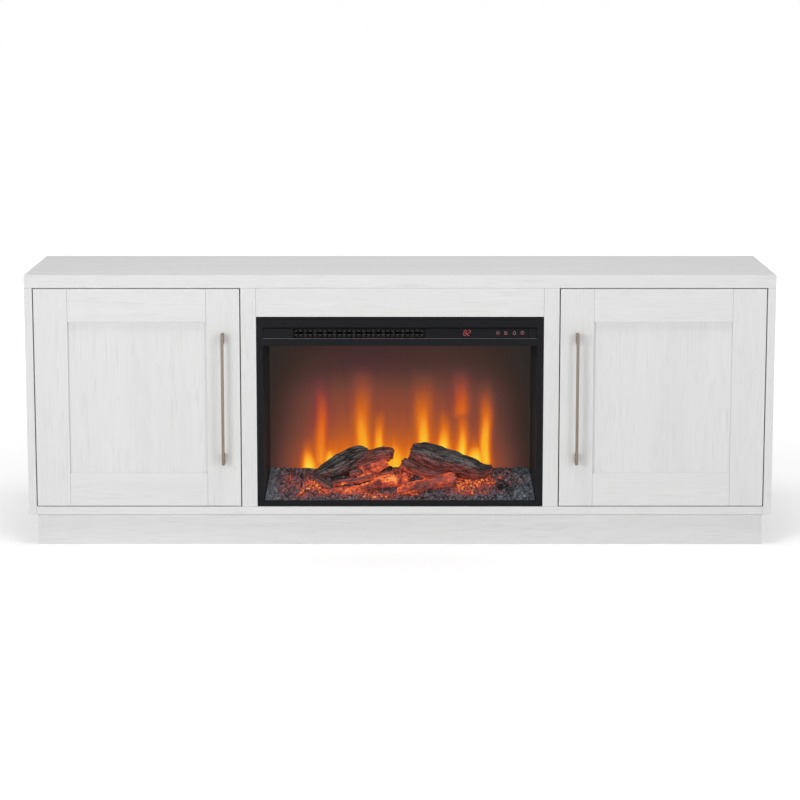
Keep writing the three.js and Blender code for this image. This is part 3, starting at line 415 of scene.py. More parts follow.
def hardboard():
    """Thin painted board: a pale skin with a faint pressed fibre and small flecks."""
    finish = Finish("painted_hardboard")
    place = finish.place()
    fibre = finish.noise(place, 420, detail=4, roughness=0.7)
    cloud = finish.noise(place, 9, detail=2)
    color = finish.blend(cloud, (0.70, 0.695, 0.675), (0.76, 0.757, 0.74))
    color = finish.blend(fibre.between(0.6, 0.75) * 0.35, color, (0.5, 0.47, 0.42))
    return finish.coat(Base_Color=color, Roughness=0.72, Normal=finish.bump(fibre, 0.12 * MM))


def plated(name, color, roughness, along=None, brushing=0.1):
    """Satin metal with fine brush lines along one axis, or none."""
    finish = Finish(name)
    place = finish.place()
    scale = [1800.0] * 3
    if along:
        scale["xyz".index(along)] = 20.0
    lines = finish.noise(finish.stretched(place, scale), detail=2)
    smear = finish.noise(place, 60, detail=3)
    shade = tuple(c * 0.82 for c in color)
    return finish.coat(
        Base_Color=finish.blend(smear, shade, color),
        Metallic=1.0,
        Roughness=lines * brushing + smear * 0.08 + (roughness - brushing / 2),
        Normal=finish.bump(lines, 0.02 * MM),
    )


def powder_coat(name, color, roughness, shine=0.2):
    """Dark baked powder: fine orange peel with a soft shine."""
    finish = Finish(name)
    place = finish.place()
    peel = finish.noise(place, 900, detail=3)
    dust = finish.noise(place, 14, detail=4)
    lifted = tuple(c * 1.35 for c in color)
    return finish.coat(
        Base_Color=finish.blend(dust, color, lifted),
        Roughness=peel * 0.16 + (roughness - 0.08),
        Specular_IOR_Level=shine,
        Normal=finish.bump(peel, 0.05 * MM),
    )


def moulded(name, color, roughness, texture=300, depth=0.03 * MM, **more):
    """Moulded plastic or rubber: one colour with slight wear and a fine texture."""
    finish = Finish(name)
    place = finish.place()
    skin_grain = finish.noise(place, texture, detail=3)
    wear = finish.noise(place, 25, detail=3)
    pale = tuple(min(1, c * 1.25 + 0.01) for c in color)
    return finish.coat(
        Base_Color=finish.blend(wear, color, pale),
        Roughness=wear * 0.15 + (roughness - 0.07),
        Normal=finish.bump(skin_grain, depth),
        **more,
    )


def lit(name, color, strength):
    """A lamp behind a tinted cover, with a slightly uneven glow."""
    finish = Finish(name)
    uneven = finish.noise(finish.place(), 700, detail=1)
    dim = tuple(c * 0.75 for c in color)
    return finish.coat(
        Base_Color=(0.02, 0.01, 0.01),
        Roughness=0.3,
        Emission_Color=finish.blend(uneven, dim, color),
        Emission_Strength=strength,
    )


def window_glass():
    """Clear glass: light goes straight through. From about 50 degrees off its front on, a little
    of it is mirrored, more towards the side."""
    finish = Finish("window_glass")
    shine = finish.node("ShaderNodeFresnel", None, {"IOR": 1.45})
    smudge = finish.noise(finish.place(), 7, detail=3)
    white, pale = (1, 1, 1, 1), (0.94, 0.945, 0.945, 1)
    mirror = finish.node("ShaderNodeBsdfGlossy", None, {"Roughness": 0.03, "Color": white})
    clear = finish.node("ShaderNodeBsdfTransparent", None, {"Color": pale})
    share = shine.between(0.06, 1.0) * (smudge * 0.1 + 0.06)
    return finish.end(finish.node("ShaderNodeMixShader", None, {0: share, 1: clear, 2: mirror}))


# Glowing coal and wood from dark to hot, and flames from the dark screen to their hearts
EMBER_STOPS = [
    (0.0, (0.0, 0.0, 0.0)),
    (0.2, (0.085, 0.010, 0.006)),
    (0.42, (0.37, 0.045, 0.020)),
    (0.62, (0.72, 0.105, 0.032)),
    (0.82, (0.96, 0.20, 0.050)),
    (1.0, (1.0, 0.38, 0.09)),
]
FLAME_STOPS = [
    (0.0, (0.018, 0.021, 0.019)),
    (0.085, (0.044, 0.023, 0.018)),
    (0.165, (0.084, 0.034, 0.028)),
    (0.29, (0.165, 0.053, 0.035)),
    (0.43, (0.29, 0.066, 0.033)),
    (0.575, (0.48, 0.10, 0.021)),
    (0.685, (0.67, 0.134, 0.011)),
    (0.775, (0.85, 0.213, 0.013)),
    (0.84, (0.97, 0.318, 0.017)),
    (0.92, (1.0, 0.48, 0.02)),
    (1.0, (1.0, 0.70, 0.07)),
]


def crushed_coal():
    """Blue-grey crushed coal with pale flecks. The carried numbers light it (glow), most in fine
    seams between lumps, darken it with painted shade in its seams, cracks and hollows and also
    where it glows, whiten it with ash and on loose pieces' high points with a painted highlight
    (pale), and turn it red (red)."""
    finish = Finish("crushed_coal")
    place = finish.place()
    heat = finish.value_of("glow")
    grit = finish.noise(place, 520, detail=4, roughness=0.65)
    fleck = finish.noise(finish.stretched(place, (520, 520, 210)), detail=2).between(0.52, 0.7)
    cloud = finish.noise(place, 22, detail=3)
    base = finish.blend(cloud.between(0.3, 0.7), (0.158, 0.182, 0.216), (0.230, 0.264, 0.312))
    base = finish.blend(fleck * 0.6, base, (0.42, 0.45, 0.49))
    # Pale ash, and on loose pieces' high points a painted highlight
    base = finish.blend(finish.value_of("pale"), base, (0.50, 0.54, 0.60))
    base = finish.blend(finish.value_of("red"), base, (0.60, 0.195, 0.178))
    # Painted shade: near black in the seams, the dark crack, the shaded hollows and low sides of
    # loose pieces; the same mask also darkens dark pieces and where the coal glows
    base = finish.blend(finish.value_of("dip"), base, (0.016, 0.016, 0.018))
    base = finish.blend(heat.between(0.1, 0.6) * 0.94, base, (0.060, 0.012, 0.009))
    flicker = finish.noise(place, 170, detail=3, roughness=0.6).between(0.3, 0.72)
    seam = 1 - finish.cells(place, 115, "DISTANCE_TO_EDGE").between(0.02, 0.17)
    ember = (heat * (flicker * 0.95 + seam * 0.75 + 0.24)).between(0.0, 1.0)
    return finish.coat(
        Base_Color=base,
        Roughness=0.85,
        Specular_IOR_Level=0.25,
        Emission_Color=finish.ramp(ember, EMBER_STOPS),
        Emission_Strength=1.0,
        Normal=finish.bump(grit, 0.7 * MM),
    )


def charred_bark(name, dark, pale):
    """Charred wood in two tones: grooves and cracks painted near black as shade, random ash with
    the ridges painted pale as a highlight, rust where it is red, and heat through it."""
    finish = Finish(name)
    place = finish.place()
    heat = finish.value_of("glow")
    ash = finish.noise(place, 300, detail=4, roughness=0.7)
    grit = finish.noise(place, 900, detail=3)
    # Random ash, and a painted highlight on the ridges
    speckle = (ash.between(0.36, 0.66) * 0.6 + finish.value_of("ridge") * 0.5).between(0.0, 1.0)
    base = finish.blend(speckle, dark, pale)
    rusty = finish.blend(speckle, (0.066, 0.023, 0.021), (0.45, 0.16, 0.135))
    base = finish.blend(finish.value_of("red"), base, rusty)
    base = finish.blend(heat.between(0.12, 0.7) * 0.8, base, (0.085, 0.022, 0.016))
    # Painted shade: grooves and cracks near black, the broken ends half as dark
    base = finish.blend(finish.value_of("groove") * 0.94, base, (0.006, 0.005, 0.005))
    flicker = finish.noise(place, 130, detail=3, roughness=0.6).between(0.3, 0.72)
    ember = (heat * (flicker * 1.1 + 0.42)).between(0.0, 1.0)
    return finish.coat(
        Base_Color=base,
        Roughness=0.88,
        Specular_IOR_Level=0.25,
        Emission_Color=finish.ramp(ember, EMBER_STOPS),
        Emission_Strength=1.0,
        Normal=finish.bump(ash * 0.7 + grit * 0.3, 0.8 * MM),
    )


def flame_light():
    """The screen's glow: carried heat broken by tall wisps and wide smoke, through a flame's
    colours, and a redder glow where it is carried (red)."""
    finish = Finish("flame_light")
    place = finish.place()
    wisps = finish.noise(finish.stretched(place, (95, 95, 11)), detail=3, distortion=0.4)
    smoke = finish.noise(finish.stretched(place, (9, 9, 5)), detail=2)
    strength = finish.value_of("glow") * (wisps * 0.16 + smoke * 0.14 + 0.85)
    color = finish.ramp(strength.between(0.0, 1.0), FLAME_STOPS)
    color = finish.blend(finish.value_of("red"), color, (1.0, 0.66, 1.3), "MULTIPLY")
    return finish.coat(
        Base_Color=(0.008, 0.006, 0.005),
        Roughness=0.5,
        Specular_IOR_Level=0.04,
        Emission_Color=color,
        Emission_Strength=1.06,
    )


GRAIN = {axis: laminate(axis) for axis in "xyz"}
BACK = hardboard()
CHAMPAGNE = plated("champagne_plate", (0.255, 0.207, 0.165), 0.34, "z")
NICKEL = plated("nickel_plate", (0.62, 0.63, 0.65), 0.3, brushing=0.05)
ZINC = plated("zinc_plate", (0.55, 0.56, 0.58), 0.38, brushing=0.05)
DARK_STEEL = plated("heat_darkened_steel", (0.10, 0.098, 0.096), 0.5, "x")
FOIL = plated("bright_foil", (0.8, 0.81, 0.82), 0.16, "x", 0.05)
FRAME_BLACK = powder_coat("charcoal_powder_coat", (0.0050, 0.0052, 0.0066), 0.5, 0.13)
DEEP_BLACK = powder_coat("matt_black", (0.0018, 0.0018, 0.0024), 0.6, 0.06)
CASE_DARK = powder_coat("case_powder_coat", (0.025, 0.031, 0.037), 0.6)
# A dark grey whose colour paints highlight lines: on the control strip's lip and the grille's
# louvres
HIGHLIGHT_GREY = moulded("painted_highlight_grey", (0.06, 0.06, 0.066), 0.35)
CONTROL = moulded(
    "gloss_black", (0.0036, 0.0034, 0.0056), 0.2, 120, 0.005 * MM,
    Specular_IOR_Level=0.07, Coat_Weight=0.04,
)
GLASS = window_glass()
COAL = crushed_coal()
BARK = charred_bark("charred_bark", (0.028, 0.030, 0.032), (0.215, 0.220, 0.220))
STICK = charred_bark("ember_wood", (0.040, 0.030, 0.029), (0.22, 0.17, 0.165))
FLAMES = flame_light()
RED_LAMP = lit("red_figure", (0.46, 0.055, 0.06), 0.85)
ICON_LAMP = lit("pale_red_icon", (0.40, 0.12, 0.12), 0.8)
WARM_LAMP = lit("warm_lamp", (1.0, 0.6, 0.25), 1.5)
FAN_GREY = moulded("fan_plastic", (0.03, 0.033, 0.036), 0.55)
CERAMIC = moulded("element_ceramic", (0.042, 0.038, 0.034), 0.85, 200, 0.1 * MM)
BOARD_GREEN = moulded("solder_resist", (0.02, 0.075, 0.035), 0.35, 90, 0.02 * MM)
RUBBER = moulded("gland_rubber", (0.02, 0.02, 0.021), 0.8, 600, 0.05 * MM)
PLASTIC_WHITE = moulded("white_plastic", (0.74, 0.74, 0.72), 0.45)


# ---- Carcass, plinth and doors

BOARDS = {
    "top_panel": "x",
    "bottom_panel": "x",
    "surround_header": "x",
    "surround_left_jamb": "z",
    "surround_right_jamb": "z",
    "left_shelf": "x",
    "right_shelf": "x",
    "plinth_front": "x",
    "plinth_back": "x",
    "plinth_left_end": "y",
    "plinth_right_end": "y",
    "plinth_centre_brace": "y",
}
DOOR_BOARDS = ("inner_stile", "outer_stile", "top_rail", "bottom_rail", "panel")
for end in SIDES:
    for part, along in zip(DOOR_BOARDS, "zzxxz"):
        BOARDS[f"{end}_door_{part}"] = along

# How far each board's grain is moved on from the last one's, and how round a board's edges are
GRAIN_SHIFT = 7.37
BOARD_EASE = 0.7 * MM
for number, (node, along) in enumerate(BOARDS.items(), 1):
    values = {"board": GRAIN_SHIFT * number}
    eased(node, f"{node}_board", GRAIN[along], BOARD_EASE, values)

BOARD_THICKNESS = 18 * MM
PIN_RADIUS = 2.5 * MM
PIN_COLLAR = 1.08 * PIN_RADIUS
PIN_ROUND = 0.6 * MM
PIN_INSET = 55 * MM


def upright(node, shelf, facing, number):
    """A side panel or divider, and the nickel pins that carry a shelf on the side it faces.
    The CAD node holds both: the pins are what reaches past the board's thickness."""
    low, high = (np.array(corner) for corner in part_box(node))
    tip = (low, high)[facing > 0][0]
    face = low[0] + BOARD_THICKNESS if facing > 0 else high[0] - BOARD_THICKNESS
    (high if facing > 0 else low)[0] = face
    board = block(low, high, BOARD_EASE, along=2)
    values = {"board": GRAIN_SHIFT * number}
    piece(f"{node}_board", [board], "carcass", GRAIN["z"], [node], False, values)
    length = abs(tip - face)
    profile = [
        (PIN_COLLAR, 0), (PIN_COLLAR, PIN_ROUND), (PIN_RADIUS, 0.7 * MM),
        (PIN_RADIUS, length - PIN_ROUND), (PIN_RADIUS * 0.72, length),
    ]
    shelf_low, shelf_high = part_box(shelf)
    height = shelf_low[2] - 0.35 * MM - PIN_RADIUS
    ends = (shelf_low[1] + PIN_INSET, shelf_high[1] - PIN_INSET)
    studs = [turned(profile, (face, y, height), (facing, 0, 0), 20) for y in ends]
    piece(f"{node}_shelf_pins", studs, "carcass", NICKEL)


for number, (end, sign) in enumerate(SIDES.items()):
    upright(f"{end}_side_panel", f"{end}_shelf", -sign, 31 + number)
    upright(f"{end}_divider", f"{end}_shelf", sign, 37 + number)


def pierced_sheet(low, high, holes):
    """A sheet in X and Z with holes: the area between its outline and theirs in triangles,
    the same area turned over behind it, and a wall along each edge that only one triangle
    has."""
    corners = [[low[0], low[2]], [high[0], low[2]], [high[0], high[2]], [low[0], high[2]]]
    loops = [np.array(corners), *holes]
    starts = np.cumsum([0] + [len(loop) for loop in loops])
    edges = [
        stacked(np.arange(len(loop)), np.roll(np.arange(len(loop)), -1)) + start
        for start, loop in zip(starts, loops)
    ]
    flat = [Vector(point) for point in np.concatenate(loops)]
    found = delaunay_2d_cdt(flat, np.concatenate(edges).tolist(), [], 0, 1e-7)
    places = np.array([tuple(point) for point in found[0]])
    faces = np.array([face for face in found[2] if len(face) == 3])
    middle = places[faces].mean(axis=1)
    faces = faces[~np.any([within(middle, hole) for hole in holes], axis=0)]
    a, b, c = (places[faces[:, k]] for k in range(3))
    turn = (b - a)[:, 0] * (c - a)[:, 1] - (b - a)[:, 1] * (c - a)[:, 0]
    faces = np.where(turn[:, None] < 0, faces[:, ::-1], faces)
    count = len(places)
    here = faces.ravel()
    there = np.roll(faces, -1, axis=1).ravel()
    alone = ~np.isin(here * count + there, there * count + here)
    here, there = here[alone], there[alone]
    walls = stacked(there, here, here + count, there + count)
    points = [np.insert(places, 1, y, axis=1) for y in (low[1], high[1])]
    return np.concatenate(points), faces, faces[:, ::-1] + count, walls


def within(points, outline):
    """Which points an outline goes round: those whose ray to +X crosses it an odd number of
    times."""
    here, there = outline, np.roll(outline, -1, axis=0)
    x, z = points[:, None, 0], points[:, None, 1]
    spans = (here[:, 1] > z) != (there[:, 1] > z)
    rise = np.where(here[:, 1] == there[:, 1], 1.0, there[:, 1] - here[:, 1])
    crossing = here[:, 0] + (z - here[:, 1]) * (there[:, 0] - here[:, 0]) / rise
    return (spans & (x < crossing)).sum(axis=1) % 2 == 1


def rounded_outline(middle, half, radius, steps=13):
    """An outline with quarter-circle corners. Where its sides have no length it is a circle,
    and the points that fall together are kept once."""
    quarter = np.linspace(0, np.pi / 2, steps)
    turn = (quarter + np.arange(4)[:, None] * np.pi / 2).ravel()
    side = np.repeat([[1, 1], [-1, 1], [-1, -1], [1, -1]], steps, axis=0)
    reach = np.array(half) - radius
    path = np.array(middle) + side * reach + radius * stacked(np.cos(turn), np.sin(turn))
    return path[np.linalg.norm(path - np.roll(path, 1, axis=0), axis=1) > 1e-6]


# A nail's head: radius and height (mm). Nails into a divider are this far in from a back's end
NAIL_DOME = [(2.3, -0.2), (2.3, 0.1), (1.9, 0.35), (0.8, 0.5)]
NAIL_HEIGHT = NAIL_DOME[-1][1] * MM
DIVIDER_NAIL = 4.6 * MM


def back_panel(node, holes, dividers):
    """A thin back with its holes, nailed along the bottom board and up the dividers, which
    are at the given ends (-1 left, 1 right). The sheet is a nail's head thinner than the
    node, so that the heads end flush with it."""
    low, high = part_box(node)
    sheet = pierced_sheet(low, (high[0], high[1] - NAIL_HEIGHT, high[2]), holes)
    piece(f"{node}_sheet", [sheet], "carcass", BACK, [node], False)
    row = np.linspace(low[0] + 16 * MM, high[0] - 16 * MM, 7)
    spots = [(x, low[2] + 9 * MM) for x in row]
    for end in dividers:
        x = high[0] - DIVIDER_NAIL if end > 0 else low[0] + DIVIDER_NAIL
        spots += [(x, z) for z in np.linspace(low[2] + 60 * MM, high[2] - 15 * MM, 6)]
    foot = high[1] - NAIL_HEIGHT
    dome = np.array(NAIL_DOME) * MM
    nails = [turned(dome, (x, foot, z), (0, 1, 0), 14) for x, z in spots]
    piece(f"{node}_nails", nails, "carcass", ZINC)


# The inside's lowest and highest Z, the dividers' faces towards the cupboards, and the cable
# holes' radius and how far their middles are from a divider
INSIDE_LOW, INSIDE_HIGH = 93 * MM, 605 * MM
DIVIDER_FACE = 367 * MM
CABLE_HOLE, CABLE_HOLE_AWAY = 32 * MM, 70 * MM
for end, sign in SIDES.items():
    shelf_low, shelf_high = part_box(f"{end}_shelf")
    middle_x = sign * (DIVIDER_FACE + CABLE_HOLE_AWAY)
    heights = ((INSIDE_LOW + shelf_low[2]) / 2, (shelf_high[2] + INSIDE_HIGH) / 2)
    holes = [rounded_outline((middle_x, z), (CABLE_HOLE, CABLE_HOLE), CABLE_HOLE) for z in heights]
    back_panel(f"{end}_back_panel", holes, [-sign])

# The vent: half its width and height, its corners' radius, and how high over the bottom it is
VENT_HALF, VENT_CORNER, VENT_RISE = (215 * MM, 75 * MM), 25 * MM, 60 * MM
vent = rounded_outline((0, INSIDE_LOW + VENT_RISE + VENT_HALF[1]), VENT_HALF, VENT_CORNER)
back_panel("centre_back_panel", [vent], [-1, 1])

# A pan-head screw's dome: radius and height, in shares of its radius
SCREW_DOME = np.array([(1, 0), (1, 0.35), (0.93, 0.42), (0.75, 0.62), (0.4, 0.72)])


def screw(place, axis, radius):
    """A pan-head screw: a low dome, and laid on it a near-black cross that paints the shade of a
    sunk cross.
    """
    place, axis = np.array(place, float), np.array(axis, float)
    across = np.cross(spare_axis(axis), axis)
    up = np.cross(axis, across)
    top = place + axis * radius * 0.74
    arms = []
    for line in (across, up):
        far = line * radius * 0.55
        arms.append(ribbon([top - far, top, top + far], radius * 0.2, radius * 0.03, axis))
    return turned(SCREW_DOME * radius, place, axis, 24), arms


def screws(name, body, spots, axis, radius=3.2 * MM):
    heads, cross_shadows = zip(*(screw(spot, axis, radius) for spot in spots))
    arms = [arm for pair in cross_shadows for arm in pair]
    piece(name, heads, body, ZINC)
    # The near-black crosses paint the shade of the sunk crosses
    piece(f"{name}_crosses", arms, body, RUBBER)


def column(x, y, low, high, inset):
    """Two places, one over the other, in from a box's lowest and highest corners."""
    return [(x, y, low[2] + inset), (x, y, high[2] - inset)]


DOOR_BACK = -164.5 * MM
PULL_SCREW_INSET, HINGE_SCREW_INSET = 11.5 * MM, 6 * MM
HINGE_PARTS = {"cup": ("cup_shell", 0.15), "link": ("link_plate", 0.3), "arm": ("arm_body", 0.3)}
for end, sign in SIDES.items():
    door = f"{end}_door"
    eased(f"{end}_handle", f"{end}_bar_pull", CHAMPAGNE, 0.6 * MM)
    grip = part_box(f"{end}_handle")
    spots = column((grip[0][0] + grip[1][0]) / 2, DOOR_BACK, *grip, PULL_SCREW_INSET)
    screws(f"{end}_pull_screws", door, spots, (0, 1, 0), 4.2 * MM)
    for level in ("lower", "upper"):
        hinge = f"{end}_{level}_hinge"
        for part, (shell, ease) in HINGE_PARTS.items():
            eased(f"{hinge}_{part}", f"{hinge}_{shell}", NICKEL, ease * MM)
        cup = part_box(f"{hinge}_cup")
        spots = column((cup[0][0] + cup[1][0]) / 2, cup[1][1], *cup, HINGE_SCREW_INSET)
        screws(f"{hinge}_cup_screws", door, spots, (0, 1, 0))
        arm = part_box(f"{hinge}_arm")
        plate_x = (arm[1][0] - 2 * MM) if sign > 0 else (arm[0][0] + 2 * MM)
        spots = column(plate_x, arm[0][1] + 16 * MM, *arm, HINGE_SCREW_INSET)
        screws(f"{hinge}_arm_screws", "carcass", spots, (-sign, 0, 0))

# Covers over the cam fittings, in the side panels' and the dividers' faces
SIDE_FACE = 845.5 * MM
COVER_DOME = np.array([(8.5, 0), (8.5, 0.5), (7.8, 0.9), (3, 1.0)]) * MM
caps = [
    turned(COVER_DOME, (sign * face, y, z), (sign * facing, 0, 0), 32)
    for sign in (-1, 1)
    for face, facing in ((SIDE_FACE, -1), (DIVIDER_FACE, 1))
    for y in (-120 * MM, 150 * MM)
    for z in (121 * MM, 577 * MM)
]
piece("cam_covers", caps, "carcass", PLASTIC_WHITE)


# ---- Fireplace: front, controls and case

eased("fireplace_front_frame", "front_bezel", FRAME_BLACK, 0.5 * MM)
eased("heater_grille", "grille_plate", DEEP_BLACK, 0.15 * MM)
eased("control_panel", "control_face", CONTROL, 0.4 * MM)
eased("fireplace_case", "steel_case", CASE_DARK, 0.2 * MM)
eased("heater_duct", "warm_air_duct", DARK_STEEL, 0.2 * MM)
frame["nodes"]["fireplace_glass"].material_slots[0].material = GLASS

PANEL_Y = -180 * MM
OUT = (0, -1, 0)
STRIP_HALF, STRIP_FLOOR = 316 * MM, -178.5 * MM
STRIP_LOW, STRIP_HIGH = 486.9 * MM, 513.4 * MM


def strip_edge(name, low, high, proud, ease, material):
    """A bar along the control strip, standing proud of its floor."""
    corners = (-STRIP_HALF, STRIP_FLOOR - proud, low), (STRIP_HALF, STRIP_FLOOR, high)
    piece(name, [block(*corners, ease)], "carcass", material)


# The grey lip's colour paints the highlight along the recess's lower edge; the near-black bar
# paints the shadow under its upper edge
strip_edge("control_strip_painted_highlight", STRIP_LOW, STRIP_LOW + 1.5 * MM, 1.9 * MM, 0.5 * MM, HIGHLIGHT_GREY)
strip_edge("control_strip_painted_shadow", STRIP_HIGH - 3.0 * MM, STRIP_HIGH, 2.4 * MM, 0.4 * MM, DEEP_BLACK)

# Grey lips under the grille's slots; their colour paints the louvres' highlights
GRILLE_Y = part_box("heater_grille")[0][1]
LOUVRES_X = (-240.13 + 11.189 * np.arange(27)) * MM
LOUVRES_Z = (495.8 * MM, 504.6 * MM)
LOUVRE = np.array([(-3.6, -0.8, -0.6), (3.6, 0.1, 0.6)]) * MM
louvres = [block(*(LOUVRE + (x, GRILLE_Y, z)), 0.4 * MM) for z in LOUVRES_Z for x in LOUVRES_X]
piece("grille_louvre_highlights", louvres, "carcass", HIGHLIGHT_GREY)

MARK_DEPTH = 0.12 * MM
FIGURE_FOOT, FIGURE_HEIGHT = 494.8 * MM, 12 * MM
FIGURE_WIDTH = FIGURE_HEIGHT * 0.5
FIGURE_SLANT = 0.16
BARS = {
    # both ends of each bar of a figure, in shares of its width and height
    "a": ((0, 1), (1, 1)), "b": ((1, 1), (1, 0.5)), "c": ((1, 0.5), (1, 0)),
    "d": ((0, 0), (1, 0)), "e": ((0, 0.5), (0, 0)), "f": ((0, 1), (0, 0.5)),
    "g": ((0, 0.5), (1, 0.5)),
}


def figure(lit_bars, left):
    """A seven-bar figure, leaning over by the slant: the lit bars, each short of its corners."""
    bars = []
    for bar in lit_bars:
        ends = np.array(BARS[bar], float) * (FIGURE_WIDTH, FIGURE_HEIGHT)
        along = (ends[1] - ends[0]) / np.linalg.norm(ends[1] - ends[0])
        ends = ends + np.array([along, -along]) * FIGURE_HEIGHT * 0.072
        ends[:, 0] += ends[:, 1] * FIGURE_SLANT
        path = [(left + x, PANEL_Y, FIGURE_FOOT + z) for x, z in np.linspace(ends[0], ends[1], 3)]
        bars.append(ribbon(path, FIGURE_HEIGHT * 0.13, MARK_DEPTH, OUT))
    return bars


eight, two = figure("abcdefg", 146.2 * MM), figure("abged", 154.6 * MM)
piece("set_temperature", eight + two, "carcass", RED_LAMP)

ICON_Z = 501.0 * MM
LINE = 1.1 * MM


def stroke(x, points, width=1.0, closed=False):
    """A line of an icon through points, in mm to the side of its middle and above it."""
    side, rise = np.array(points, float).T * MM
    return ribbon(stacked(x + side, PANEL_Y, ICON_Z + rise), LINE * width, MARK_DEPTH, OUT, closed)


def arc(radius, start, stop):
    """Points on a circle, from one angle to another in degrees."""
    angle = np.radians(np.linspace(start, stop, 26))
    return radius * stacked(np.cos(angle), np.sin(angle))


def power_icon(x):
    """A ring open at its top, and a bar through the opening."""
    return [stroke(x, arc(3.3, 125, 415)), stroke(x, [(0, 0.6), (0, 2.4), (0, 4.3)])]


def heat_icon(x):
    """Three upright waves side by side over a bar."""
    rise = np.linspace(-2.2, 3.6, 16)
    waves = [stroke(x, stacked(k * 2.6 + 0.6 * np.sin(rise * 1.9), rise), 0.8) for k in (-1, 0, 1)]
    return [*waves, stroke(x, [(-3.6, -3.6), (0, -3.6), (3.6, -3.6)])]


def flame_icon(x):
    """A pear-shaped outline whose tip leans over: its half width swells and closes with height."""
    angle = np.linspace(0, 2 * np.pi, 40, endpoint=False)
    height = -np.cos(angle)
    half = np.sin(angle) * (1 - 0.45 * height)
    lean = 0.5 * np.clip(height, 0, 1) ** 2
    return [stroke(x, stacked(2.6 * half + lean, 4.2 * height), closed=True)]


def timer_icon(x):
    """A ring with two hands."""
    hands = [(0, 0), (0, 1.1), (0, 2.2)], [(0, 0), (0.9, 0), (1.8, 0)]
    return [stroke(x, arc(3.5, 0, 345.6), closed=True), *(stroke(x, hand, 0.8) for hand in hands)]


icons = {power_icon: 225.5, heat_icon: 243.5, flame_icon: 263.5, timer_icon: 281.8}
marks = [mark for icon, x in icons.items() for mark in icon(x * MM)]
piece("touch_icons", marks, "carcass", ICON_LAMP)

# Screws in the case's back: a row along its bottom and top, and three up each side
case_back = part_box("fireplace_case")[1][1]
spots = [(x, z) for x in np.linspace(-312, 312, 7) for z in (101, 528)]
spots += [(x, z) for x in (-312, 312) for z in (200, 310, 420)]
spots = [(x * MM, case_back, z * MM) for x, z in spots]
screws("case_back_screws", "carcass", spots, (0, 1, 0))


# ---- Coal bed

BED_FRONT = -168.5 * MM
BED_DEPTH = 132 * MM
BED_FLOOR = 95.1 * MM
BED_HALF = 315 * MM
BED_TAPER = 8 * MM
WINDOW_HEIGHT = 363.4 * MM
# The Z from which the bed's slope rises, how wide its mound is, how long and high its waves are,
# how large its stones are, and how wide and deep its cracks
SLOPE_FOOT = 94.8 * MM
MOUND_REACH = 126 * MM
LUMP, WAVE_HEIGHT = 46 * MM, 2.6 * MM
STONE, SMALL_STONE = 8.5 * MM, 4.2 * MM
CRACK = 2.2 * MM


def bed_height(x, share):
    """The moulded bed's top: a slope up to the screen, a wide mound, and three crossed waves."""
    slope = WINDOW_HEIGHT * (0.03 + 0.14 * share)
    away = (x / MOUND_REACH) ** 2 + ((share - 0.62) / 0.27) ** 2
    mound = WINDOW_HEIGHT * 0.05 * np.exp(-away)
    a = 2 * np.pi * x / LUMP
    b = 2 * np.pi * share * BED_DEPTH / LUMP
    waves = np.sin(a + 0.7 * b) + np.sin(0.61 * a - 1.3 * b + 1) + np.sin(0.23 * a + 1.7 * b)
    return SLOPE_FOOT + slope + mound + WAVE_HEIGHT * waves / 3


HOT_PLACES = [
    # middle in x (mm), share of the bed's depth, reach in x (mm), reach in depth, strength
    (-203.0, 0.42, 24, 0.20, 1.2),
    (-228.0, 0.25, 9, 0.20, 0.75),
    (-185.0, 0.20, 26, 0.10, 0.75),
    (-52.0, 0.15, 48, 0.12, 1.15),
    (-130.8, 0.09, 24, 0.05, 0.7),
    (35.1, 0.17, 26, 0.05, 0.7),
    (-6.0, 0.50, 26, 0.16, 1.0),
    (136.5, 0.42, 24, 0.24, 1.2),
    (176.9, 0.54, 34, 0.26, 1.2),
    (207.4, 0.53, 16, 0.14, 1.1),
    (164.1, 0.26, 52, 0.11, 1.0),
    (236.4, 0.69, 6, 0.05, 1.0),
    (256.9, 0.52, 5, 0.03, 0.5),
]
# Redder places, hollows painted dark as shade, and ashen places, with the same columns as the hot
# ones
RED_PLACES = [
    (-257.0, 0.56, 30, 0.40, 0.92),
    (-217.6, 0.71, 14, 0.22, 0.9),
    (-232.0, 0.12, 48, 0.16, 0.6),
    (0.0, 0.05, 170, 0.12, 0.3),
    (248.6, 0.76, 24, 0.19, 0.5),
    (276.0, 0.60, 19, 0.12, 0.45),
    (165.0, 0.45, 60, 0.24, 0.7),
    (-200.0, 0.40, 30, 0.22, 0.7),
]
SHADED_HOLLOWS = [(242.0, 0.44, 19, 0.16, 1.0), (24.0, 0.15, 26, 0.10, 0.5)]
ASHEN_PLACES = [
    (-312.0, 0.5, 42, 0.9, 0.62),
    (-255.0, 0.5, 34, 0.5, 0.28),
    (306.0, 0.5, 46, 0.9, 0.3),
]
GLOWING_CRACKS = [
    # middle in x (mm) and share of the bed's depth, one corner after another
    [(-277.6, 0.258), (-268.0, 0.41), (-251.1, 0.552)],
    [(-259.9, 0.831), (-258.8, 0.627), (-251.1, 0.552), (-239.9, 0.428)],
    [(-271.2, 0.737), (-260.2, 0.58)],
    [(-240.9, 0.146), (-227.6, 0.308), (-225.9, 0.451)],
]
# The dark crack cuts a dent and is painted dark in it as shade
DARK_CRACKS = [[(-233.3, 0.827), (-231.0, 0.49), (-228.6, 0.156)]]


def spotted(places, x, share):
    """The strongest of some soft round spots at each point of the bed."""
    total = np.zeros(np.broadcast(x, share).shape)
    for middle, depth, wide, deep, strength in places:
        spot = np.exp(-(((x / MM - middle) / wide) ** 2) - ((share - depth) / deep) ** 2)
        total = np.maximum(total, strength * spot)
    return total


